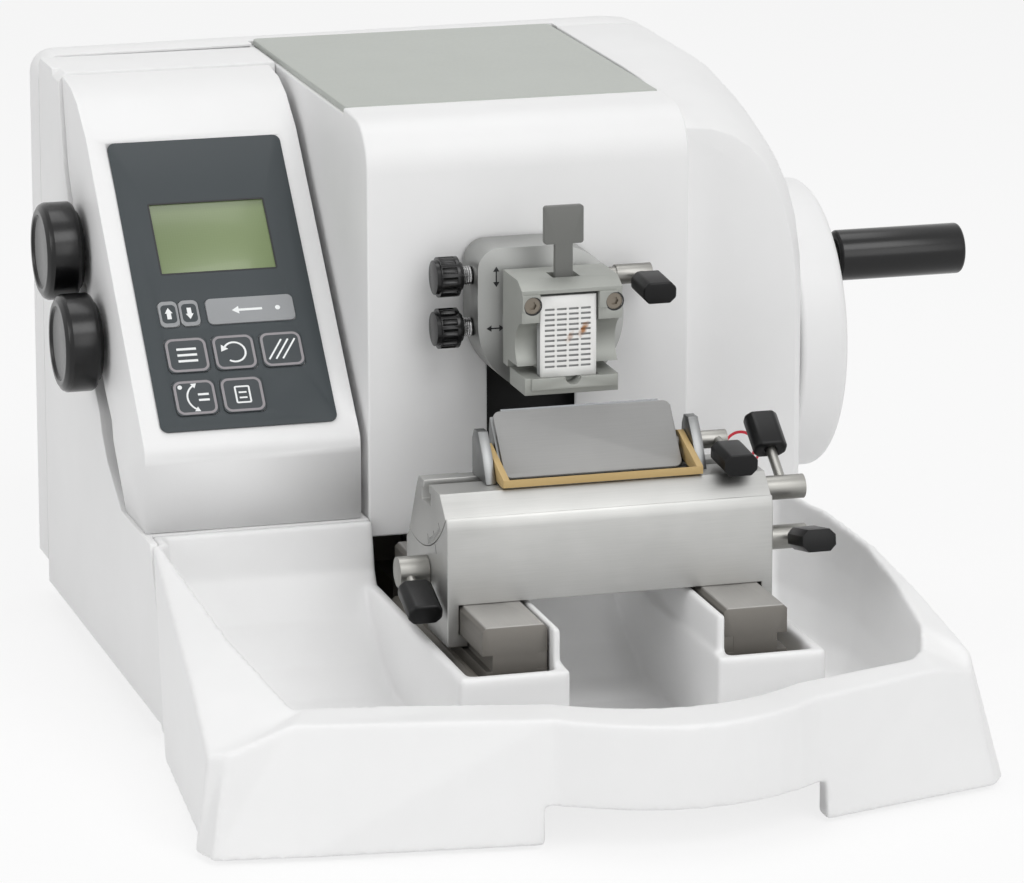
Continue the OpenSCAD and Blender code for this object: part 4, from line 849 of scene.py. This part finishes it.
@dataclass(frozen=True)
class ThreadSet:
    """Thread turns on a shank along X, as a row of ridged rings."""

    name: str
    body: str
    start: Point3
    length_mm: float
    core_mm: float
    pitch_mm: float

    def tree(self) -> bpy.types.NodeTree:
        """Returns the node tree: one ridged ring repeated along a line."""
        tree, entry = open_tree(self.name + "_tree",
                                {"Turns": "Int", "Core Radius": "Float", "Pitch": "Float"})
        path = add(tree, "GeometryNodeCurvePrimitiveCircle", {"Resolution": 40,
                                                              "Radius": entry.outputs["Core Radius"]})
        width = add(tree, "ShaderNodeMath", {0: entry.outputs["Pitch"], 1: 0.5}, operation="MULTIPLY")
        ridge = add(tree, "GeometryNodeCurvePrimitiveCircle", {"Resolution": 6, "Radius": width.outputs[0]})
        ring = add(tree, "GeometryNodeCurveToMesh", {"Curve": path.outputs[0],
                                                     "Profile Curve": ridge.outputs[0]})
        upright = add(tree, "GeometryNodeTransform", {"Geometry": ring.outputs[0],
                                                      "Rotation": (0.0, math.pi / 2, 0.0)})
        step = add(tree, "ShaderNodeCombineXYZ", {"X": entry.outputs["Pitch"]})
        row = add(tree, "GeometryNodeMeshLine", {"Count": entry.outputs["Turns"], "Offset": step.outputs[0]})
        rings = add(tree, "GeometryNodeInstanceOnPoints", {"Points": row.outputs[0],
                                                           "Instance": upright.outputs[0]})
        spots = add(tree, "GeometryNodeInstanceOnPoints", {"Points": entry.outputs["Geometry"],
                                                           "Instance": rings.outputs[0]})
        close_tree(tree, entry, spots.outputs[0])
        return tree

    def build(self, material: bpy.types.Material) -> None:
        """Makes the thread as one plain mesh.

        Args:
            material: the shank's finish.
        """
        values = {"Turns": int(self.length_mm / self.pitch_mm), "Core Radius": self.core_mm / 2 * MM,
                  "Pitch": self.pitch_mm * MM}
        grow(self.name, self.tree(), values, [(mm(*self.start), Vector((0, 0, 1)))], material, self.body)


# SUB-ASSEMBLIES

@dataclass
class Shells:
    """The white mouldings, the tray, the top plate and the back of the machine."""

    dress: Dresser
    looks: Finishes
    console_sides: tuple[float, float] = (-200.0, -90.0)
    console_back: float = 190.0
    console_low: float = 104.0
    cover_screw_y: float = 261.1
    cover_screws: tuple[Point2, ...] = ((-186, 36), (146, 36), (-180, 282), (104, 282))
    inlet_x: float = -118.0
    inlet_screw_y: float = 261.4
    inlet_screw_z: float = 50.0
    inlet_reach: float = 20.5

    def on_console_side(self, v: Vector) -> bool:
        """Tells whether a point is on the outline of one of the console's two sides, above the tray."""
        near = any(abs(v.x - mm(x, 0, 0).x) < 2e-5 for x in self.console_sides)
        return near and v.y < self.console_back * MM and v.z > self.console_low * MM

    def build(self) -> None:
        """Rounds and paints the mouldings and adds their screws."""
        d, f = self.dress, self.looks
        d.melt("section_tray", f.tray, voxel_mm=1.4, passes=12, ratio=0.42)
        d.soften("console_housing", f.shell, EdgeRule(2.6, 5, 30, self.on_console_side))
        d.soften("front_cover", f.shell, EdgeRule(1.2, 4, 30))
        d.soften("left_housing", f.shell, EdgeRule(0.8, 3, 30))
        d.soften("right_housing", f.shell, EdgeRule(1.0, 3))
        d.soften("rear_cover", f.shell, EdgeRule(0.5))
        d.soften("top_plate", f.enamel, EdgeRule(0.6, 3))
        back = (0.0, 1.0, 0.0)
        ScrewSet("rear_cover_screws", "frame", 7.0, 1.6, 3.4, Recess.CROSS, back,
                 tuple((x, self.cover_screw_y, z) for x, z in self.cover_screws)).build(f.screw)
        ScrewSet("inlet_screws", "frame", 5.0, 1.0, 2.4, Recess.CROSS, back,
                 tuple((self.inlet_x + side * self.inlet_reach, self.inlet_screw_y, self.inlet_screw_z)
                       for side in (-1, 1))).build(f.screw)


@dataclass
class Console:
    """Dark keypad film, display, keys with their marks, and the two knobs on the side."""

    dress: Dresser
    looks: Finishes
    middle_x: float = -145.0
    start_y: float = 31.0
    start_z: float = 175.0
    film_t: float = 0.8
    key_top: float = 1.4
    ink_t: float = 0.06
    columns: Point3 = (-24.8, -0.6, 23.8)
    rows: Point3 = (31.6, 7.4, -17.2)
    half_gap: float = 5.3

    def on_panel(self, u: float, s: float, h: float) -> Vector:
        """Returns a point u across the panel, s up its slope and h out of it, in mm."""
        return mm(self.middle_x + u, self.start_y + s * math.cos(PANEL_TILT) - h * math.sin(PANEL_TILT),
                  self.start_z + s * math.sin(PANEL_TILT) + h * math.cos(PANEL_TILT))

    def mark(self, name: str, shapes: Outlines, material: bpy.types.Material, body: str,
             height: float) -> None:
        """Prints shapes on the panel at a height.

        Args:
            name: the piece's name.
            shapes: outlines in millimetres on the panel.
            material: the ink.
            body: what the print is on.
            height: the surface that carries it.
        """
        link_piece(name, slab(shapes, height - INK_ROOT, height + self.ink_t, self.on_panel), material, body)

    def sign(self, key: str, part: str, shapes: Outlines) -> None:
        """Prints a white sign on a key.

        Args:
            key: the key's name.
            part: what the sign shows.
            shapes: outlines in millimetres on the panel.
        """
        self.mark(f"{key}_{part}", shapes, self.looks.white_ink, f"key_{key}_cap", self.key_top)

    def square_keys(self) -> None:
        """Prints the outlines and signs of the five square keys."""
        (left, mid, right), (_, high, low) = self.columns, self.rows
        places = {"menu": (left, high), "cycle": (mid, high), "trim": (right, high), "rock": (left, low),
                  "memo": (mid, low)}
        for key, (x, y) in places.items():
            self.mark(f"{key}_outline", frame_of(x, y, 20.7, 19.2, 4.0, 1.3), self.looks.pale_ink,
                      f"key_{key}_cap", self.key_top)
        x, y = places["menu"]
        self.sign("menu", "bars", [bar(x - 5, y + dy, x + 5, y + dy, 1.3) for dy in (-3.4, 0, 3.4)])
        x, y = places["cycle"]
        self.sign("cycle", "arrow", bow(x, y, 5.6, -125, 150, 1.0) + [tip(x - 4.6, y + 3.3, 232, 3.4)])
        x, y = places["trim"]
        self.sign("trim", "strokes",
                  [bar(x - 4.4 + k, y - 5.6, x + 3.4 + k, y + 5.6, 0.9) for k in (-3, 0.5, 4)])
        x, y = places["rock"]
        ends = [(125, 35), (235, -35)]
        tips = [tip(*arc(x + 4, y, 8, a, a, 1)[0], heading, 2.6) for a, heading in ends]
        self.sign("rock", "arrows", bow(x + 4, y, 8, 125, 235, 0.9) + tips
                  + [bar(x + 1.5, y + dy, x + 7, y + dy, 1.2) for dy in (-1.6, 1.6)])
        self.sign("rock", "lamp", [dot(x - 7, y + 6.2, 1.2)])
        x, y = places["memo"]
        self.sign("memo", "sheet", frame_of(x, y, 8, 10, 1, 0.9)
                  + [bar(x - 2, y + dy, x + 2, y + dy, 0.9) for dy in (-1.8, 1.2)])

    def top_keys(self) -> None:
        """Prints the up, down and retraction keys of the top row."""
        y = self.rows[0]
        for key, side in (("up", 1), ("down", -1)):
            x = self.columns[0] - side * self.half_gap
            body = f"key_{key}_cap"
            self.mark(f"{key}_inset", [rounded(x, y, 7.6, 10.6, 2.2)], self.looks.film, body, self.key_top)
            self.mark(f"{key}_arrow", [bar(x, y - side * 3, x, y + side * 0.4, 2.2),
                                       tip(x, y + side * 0.4, side * 90, 3.2)],
                      self.looks.white_ink, body, self.key_top + self.ink_t)
        x = self.columns[1] + 12.4
        self.sign("retraction", "arrow", [bar(x - 6, y, x + 6, y, 1.3), tip(x - 6, y, 180, 3.6)])
        self.sign("retraction", "lamp", [dot(x + 14, y, 1.3)])

    def build(self) -> None:
        """Dresses the console and prints its marks."""
        d, f = self.dress, self.looks
        d.soften("keypad_panel", f.film, EdgeRule(0.25))
        d.soften("display_window", f.lcd, EdgeRule(0.2))
        self.mark("display_frame", frame_of(0, 76, 60.6, 42.6, 1.2, 0.9), f.dark_ink, "frame", self.film_t)
        for node in ("key_menu", "key_cycle", "key_trim", "key_rock", "key_memo"):
            d.soften(node, f.key_film, EdgeRule(0.3, 3))
        for node in ("key_up", "key_down", "key_retraction"):
            d.soften(node, f.pale_film, EdgeRule(0.3, 3))
        for node in ("upper_knob", "lower_knob"):
            d.soften(node, f.knob, EdgeRule(0.4, 3, 25))
        self.square_keys()
        self.top_keys()


@dataclass
class DriveTrain:
    """Handwheel, its grip, what turns inside the housing, the base and the mains inlet."""

    dress: Dresser
    looks: Finishes

    def build(self) -> None:
        """Dresses the wheel, the hidden drive and what it stands on."""
        d, f = self.dress, self.looks
        d.soften("handwheel", f.shell, EdgeRule(0.6))
        d.soften("hand_grip", f.knob, EdgeRule(0.3))
        d.soften("grip_axle", f.rod, EdgeRule(0.3))
        for node in ("main_shaft", "shaft_bearings", "vertical_shafts", "feed_cylinder"):
            d.paint(node, f.rod)
        for node in ("crank_disc", "upright_frame"):
            d.paint(node, f.casting)
        d.paint("base_plate", f.base)
        d.paint("carriage", f.rail)
        d.paint("feed_motor", f.socket)
        d.paint("slot_shield", f.shield)
        d.paint("rubber_feet", f.rubber)
        d.soften("power_inlet", f.socket, EdgeRule(0.3))
        d.soften("power_switch", f.knob, EdgeRule(0.25))


@dataclass
class SpecimenHead:
    """Plate, ball, clamp, cassette and the small levers and knobs of the specimen head."""

    dress: Dresser
    looks: Finishes
    plate_front: float = -29.0
    knob_y: float = -17.0
    tilt_z: float = 225.0
    pan_z: float = 199.0
    thread_x: float = -42.2
    clamp_x: float = -1.2
    clamp_front: float = -72.0
    screw_y: float = -70.2
    screw_reach: float = 20.8
    screw_z: float = 220.5
    tilt_arrow: Point2 = (-28.1, 226.2)
    pan_arrow: Point2 = (-28.6, 200.2)

    def on_clamp(self, u: float, v: float, h: float) -> Vector:
        """Returns a point on the front of the clamp."""
        return mm(u, self.clamp_front - h, v)

    def on_front(self, u: float, v: float, h: float) -> Vector:
        """Returns a point on the front of the head's plate."""
        return mm(u, self.plate_front - h, v)

    def double_arrow(self, name: str, spot: Point2, heading: float, base: float) -> None:
        """Prints a small arrow with two heads on the plate.

        Args:
            name: the piece's name.
            spot: its middle.
            heading: where its first head points, in degrees.
            base: how far from the middle each head begins.
        """
        (x, z), c, s = spot, math.cos(math.radians(heading)), math.sin(math.radians(heading))
        shapes = [bar(x - 3 * c, z - 3 * s, x + 3 * c, z + 3 * s, 0.7),
                  tip(x + base * c, z + base * s, heading, 2.6),
                  tip(x - base * c, z - base * s, heading + 180, 2.6)]
        link_piece(name, slab(shapes, -INK_ROOT, 0.06, self.on_front), self.looks.dark_ink, "arm")

    def build(self) -> None:
        """Dresses the head, threads its screws and prints its two double arrows."""
        d, f = self.dress, self.looks
        d.soften("head_base", f.head, EdgeRule(0.7, 3))
        d.soften("clamp_body", f.clamp, EdgeRule(0.5, 3))
        d.soften("lower_jaw", f.clamp, EdgeRule(0.4))
        d.soften("cassette_lever", f.lever_enamel, EdgeRule(0.4))
        d.soften("cassette", f.cassette, EdgeRule(0.15, 1))
        d.paint("ball_joint", f.rod)
        for node in ("tilt_knob", "pan_knob"):
            d.soften(node, f.knob, EdgeRule(0.25))
        d.soften("orientation_lever", f.boss, EdgeRule(0.4))
        d.soften("orientation_handle", f.handle, EdgeRule(1.5, 4, 30))
        for name, z in (("tilt", self.tilt_z), ("pan", self.pan_z)):
            ThreadSet(f"{name}_thread", f"{name}_screw", (self.thread_x, self.knob_y, z), length_mm=4.6,
                      core_mm=8.6, pitch_mm=1.15).build(f.rod)
        places = [(self.clamp_x + side * self.screw_reach, self.screw_z) for side in (-1, 1)]
        ScrewSet("clamp_screws", "clamp", 8.4, 2.4, 4.2, Recess.HEX, (0.0, -1.0, 0.0),
                 tuple((u, self.screw_y, v) for u, v in places)).build(f.dark_screw)
        rings = [shape for u, v in places for shape in bow(u, v, 4.45, 0, 359.9, 0.7, 32)]
        link_piece("clamp_screw_rings", slab(rings, -INK_ROOT, 0.04, self.on_clamp), f.dark_ink, "clamp")
        self.double_arrow("tilt_arrows", self.tilt_arrow, 90, 2.6)
        self.double_arrow("pan_arrows", self.pan_arrow, 180, 2.0)


@dataclass
class KnifeHolder:
    """Base on its rails, segment, blade holder, guard and levers."""

    dress: Dresser
    looks: Finishes
    end_x: float = -82.0
    edge_y: float = -79.5
    edge_z: float = 172.5
    plate_tilt: float = math.radians(50.0)
    plate_w: float = 90.0
    plate_top: float = 1.5
    plate_low: float = 37.5
    plate_t: float = 2.0
    plate_corner: float = 3.6
    web_x: Point2 = (44.2, 49.5)
    web_z: Point2 = (62.5, 76.4)
    web_short: float = 0.2
    rail_x: float = 60.0
    rail_screw_y: Point3 = (-122, -76, -30)
    rail_screw_z: float = 86.3
    scale_deg: float = -118.0
    tick_deg: float = 2.2
    scale_r: float = 62.9
    index_r: Point2 = (64.6, 69.5)

    def on_plate(self, u: float, v: float, h: float) -> Vector:
        """Returns a point on the pressure plate: u across it, v up its slope from the edge, h out of it."""
        c, s = math.cos(self.plate_tilt), math.sin(self.plate_tilt)
        return mm(u, self.edge_y + v * c - h * s, self.edge_z + v * s + h * c)

    def on_end(self, u: float, v: float, h: float) -> Vector:
        """Returns a point on the left end of the holder: u is y, v is z and h is out of it."""
        return mm(self.end_x - h, u, v)

    def pressure_plate(self) -> None:
        """Stands in a plate with round corners and broken edges for the CAD one."""
        length = self.plate_low - self.plate_top
        outline = rounded(0, -self.plate_top - length / 2, self.plate_w, length, self.plate_corner)
        bm = slab([outline], -self.plate_t, 0, self.on_plate)
        bevel(bm, [e for e in bm.edges if e.calc_face_angle(0.0) > math.radians(60)], 0.3, 2)
        self.dress.stand_in("pressure_plate", bm, self.looks.plate)

    def rail_webs(self) -> None:
        """Fills each rail below its head on the inner side, where the base has no hook."""
        low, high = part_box("guide_rails")
        z0, z1 = self.web_z
        outlines = [[(x0, z0), (x1, z0), (x1, z1), (x0, z1)]
                    for x0, x1 in (sorted(side * x for x in self.web_x) for side in (-1, 1))]
        link_piece("rail_webs", slab(outlines, -high[1] / MM + self.web_short, -low[1] / MM - self.web_short,
                                     lambda u, v, h: mm(u, -h, v)), self.looks.rail, "frame")

    def ray(self, angle_deg: float, r0: float, r1: float, line: float) -> list[Point2]:
        """Returns a short line on the end that points at the blade's edge.

        Args:
            angle_deg: where it stands round the edge.
            r0: how far from the edge it starts.
            r1: how far from the edge it ends.
            line: its width.

        Returns:
            Its outline.
        """
        c, s = math.cos(math.radians(angle_deg)), math.sin(math.radians(angle_deg))
        return bar(self.edge_y + r0 * c, self.edge_z + r0 * s, self.edge_y + r1 * c, self.edge_z + r1 * s,
                   line)

    def angle_scale(self) -> None:
        """Engraves the scale of the clearance angle and its index."""
        ticks = [self.ray(self.scale_deg + i * self.tick_deg, self.scale_r,
                          self.scale_r - (5.0 if i % 5 == 0 else 3.0), 0.35) for i in range(-5, 6)]
        index = [self.ray(self.scale_deg, *self.index_r, 0.45)]
        for name, shapes, body in (("angle_scale", ticks, "segment"), ("angle_index", index, "knife_slide")):
            link_piece(name, slab(shapes, -INK_ROOT, 0.05, self.on_end), self.looks.dark_ink, body)

    def build(self) -> None:
        """Dresses the holder, its rails and its levers."""
        d, f = self.dress, self.looks
        d.soften("knife_base", f.holder, EdgeRule(0.6, 3, 30))
        d.soften("segment_block", f.holder, EdgeRule(0.5, 3, 30))
        d.soften("blade_holder", f.milled, EdgeRule(0.4))
        self.pressure_plate()
        d.soften("knife_guard", f.guard, EdgeRule(0.3))
        d.paint("blade", f.blade)
        d.soften("guide_rails", f.rail, EdgeRule(0.8, 3))
        self.rail_webs()
        for node in ("base", "segment", "lateral", "blade"):
            d.soften(f"{node}_lever", f.boss, EdgeRule(0.5, 3))
            d.soften(f"{node}_handle", f.handle, EdgeRule(1.5, 4, 30))
        ScrewSet("rail_screws", "frame", 8.6, 4.4, 5.0, Recess.HEX, (0.0, 0.0, 1.0),
                 tuple((side * self.rail_x, y, self.rail_screw_z)
                       for side in (-1, 1) for y in self.rail_screw_y)).build(f.screw)
        self.angle_scale()


@dataclass
class WheelSign:
    """Plain red ring with side arcs, printed on the shoulder by the handwheel."""

    looks: Finishes
    x: float = 114.3
    z: float = 117.9
    shoulder_y: float = 17.0

    def on_shoulder(self, u: float, v: float, h: float) -> Vector:
        """Returns a point on the flat front of the right shoulder."""
        return mm(u, self.shoulder_y - h, v)

    def build(self) -> None:
        """Prints the sign."""
        shapes = bow(self.x, self.z, 8.2, 0, 359.9, 1.5, 48)
        for side in (0, 180):
            shapes += bow(self.x, self.z, 11.2, side - 40, side + 40, 1.4, 14)
        link_piece("wheel_sign", slab(shapes, -INK_ROOT, 0.06, self.on_shoulder), self.looks.red_ink, "frame")


# STUDIO

@dataclass(frozen=True)
class SoftBox:
    """One rectangular lamp, in metres and watts."""

    name: str
    at: Point3
    size: Point2
    watts: float


@dataclass
class Studio:
    """Camera at the photograph's angle, pale floor, plain backdrop and soft lamps."""

    camera_at: Point3 = (-0.806289, -2.678424, 0.850176)
    turn_deg: float = 16.15
    down_deg: float = 14.4
    lens_mm: float = 201.8
    sensor_mm: float = 36.0
    floor_half_m: float = 6.0
    floor_glow: float = 0.8
    world_fill: float = 0.43
    aim: Point3 = (0.0, -0.05, 0.12)
    boxes: tuple[SoftBox, ...] = (
        SoftBox("key_box", (0.6, -2.2, 2.6), (1.8, 1.4), 30.0),
        SoftBox("front_box", (0.9, -2.9, 1.1), (1.8, 1.4), 13.0),
        SoftBox("left_box", (-2.6, -0.8, 1.3), (1.6, 1.4), 16.0),
        SoftBox("top_box", (0.0, 0.6, 2.8), (2.0, 1.6), 20.0),
    )

    def camera(self) -> None:
        """Makes the scene's camera."""
        data = bpy.data.cameras.new("camera")
        data.lens = self.lens_mm
        data.sensor_width = self.sensor_mm
        data.clip_start, data.clip_end = 0.1, 60.0
        cam = put("camera", data)
        cam.location = self.camera_at
        cam.rotation_euler = (math.radians(90 - self.down_deg), 0.0, math.radians(-self.turn_deg))
        bpy.context.scene.camera = cam

    @staticmethod
    def seen_white(tree: bpy.types.NodeTree) -> bpy.types.NodeSocket:
        """Returns 1 for what the camera sees directly, in gloss or through glass."""
        path = add(tree, "ShaderNodeLightPath")
        gloss = add(tree, "ShaderNodeMath",
                    {0: path.outputs["Is Camera Ray"], 1: path.outputs["Is Glossy Ray"]}, operation="MAXIMUM")
        return add(tree, "ShaderNodeMath", {0: gloss.outputs[0], 1: path.outputs["Is Transmission Ray"]},
                   operation="MAXIMUM").outputs[0]

    def floor(self) -> None:
        """Makes the floor: near white, with the soft shadow of the machine kept."""
        bm = bmesh.new()
        bmesh.ops.create_grid(bm, x_segments=1, y_segments=1, size=self.floor_half_m)
        mesh = bpy.data.meshes.new("floor")
        bm.to_mesh(mesh)
        bm.free()
        material = bpy.data.materials.new("white_paper_floor")
        material.use_nodes = True
        tree = material.node_tree
        tree.nodes.clear()
        paper = add(tree, "ShaderNodeBsdfDiffuse", {"Color": linear("#f4f4f4")})
        glow = add(tree, "ShaderNodeEmission", {"Color": (1, 1, 1, 1), "Strength": 1.0})
        share = add(tree, "ShaderNodeMath", {0: self.seen_white(tree), 1: self.floor_glow},
                    operation="MULTIPLY")
        both = add(tree, "ShaderNodeMixShader",
                   {0: share.outputs[0], 1: paper.outputs[0], 2: glow.outputs[0]})
        add(tree, "ShaderNodeOutputMaterial", {"Surface": both.outputs[0]})
        mesh.materials.append(material)
        put("floor", mesh)

    def world(self) -> None:
        """Makes the plain white surround and its even fill light."""
        world = bpy.data.worlds.new("studio")
        world.use_nodes = True
        tree = world.node_tree
        tree.nodes.clear()
        fill = add(tree, "ShaderNodeBackground", {"Color": linear("#f8f8f8"), "Strength": self.world_fill})
        seen = add(tree, "ShaderNodeBackground", {"Color": (1, 1, 1, 1), "Strength": 1.0})
        both = add(tree, "ShaderNodeMixShader",
                   {0: self.seen_white(tree), 1: fill.outputs[0], 2: seen.outputs[0]})
        add(tree, "ShaderNodeOutputWorld", {"Surface": both.outputs[0]})
        bpy.context.scene.world = world

    def lamp(self, box: SoftBox) -> None:
        """Hangs one soft box that faces the machine."""
        data = bpy.data.lights.new(box.name, "AREA")
        data.shape = "RECTANGLE"
        data.size, data.size_y = box.size
        data.energy = box.watts
        obj = put(box.name, data)
        obj.location = box.at
        obj.rotation_euler = (Vector(box.at) - Vector(self.aim)).to_track_quat("Z", "Y").to_euler()

    def build(self) -> None:
        """Sets up everything round the object."""
        self.camera()
        self.floor()
        self.world()
        for box in self.boxes:
            self.lamp(box)
        bpy.context.scene.view_settings.view_transform = "Standard"


def main() -> None:
    """Builds the classes in order and notes the sizes."""
    logging.basicConfig(level=logging.INFO, format="%(message)s")
    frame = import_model()
    Studio().build()
    looks = Finishes()
    dress = Dresser(frame)
    Shells(dress, looks).build()
    Console(dress, looks).build()
    DriveTrain(dress, looks).build()
    SpecimenHead(dress, looks).build()
    KnifeHolder(dress, looks).build()
    WheelSign(looks).build()


if __name__ == "__main__":
    main()
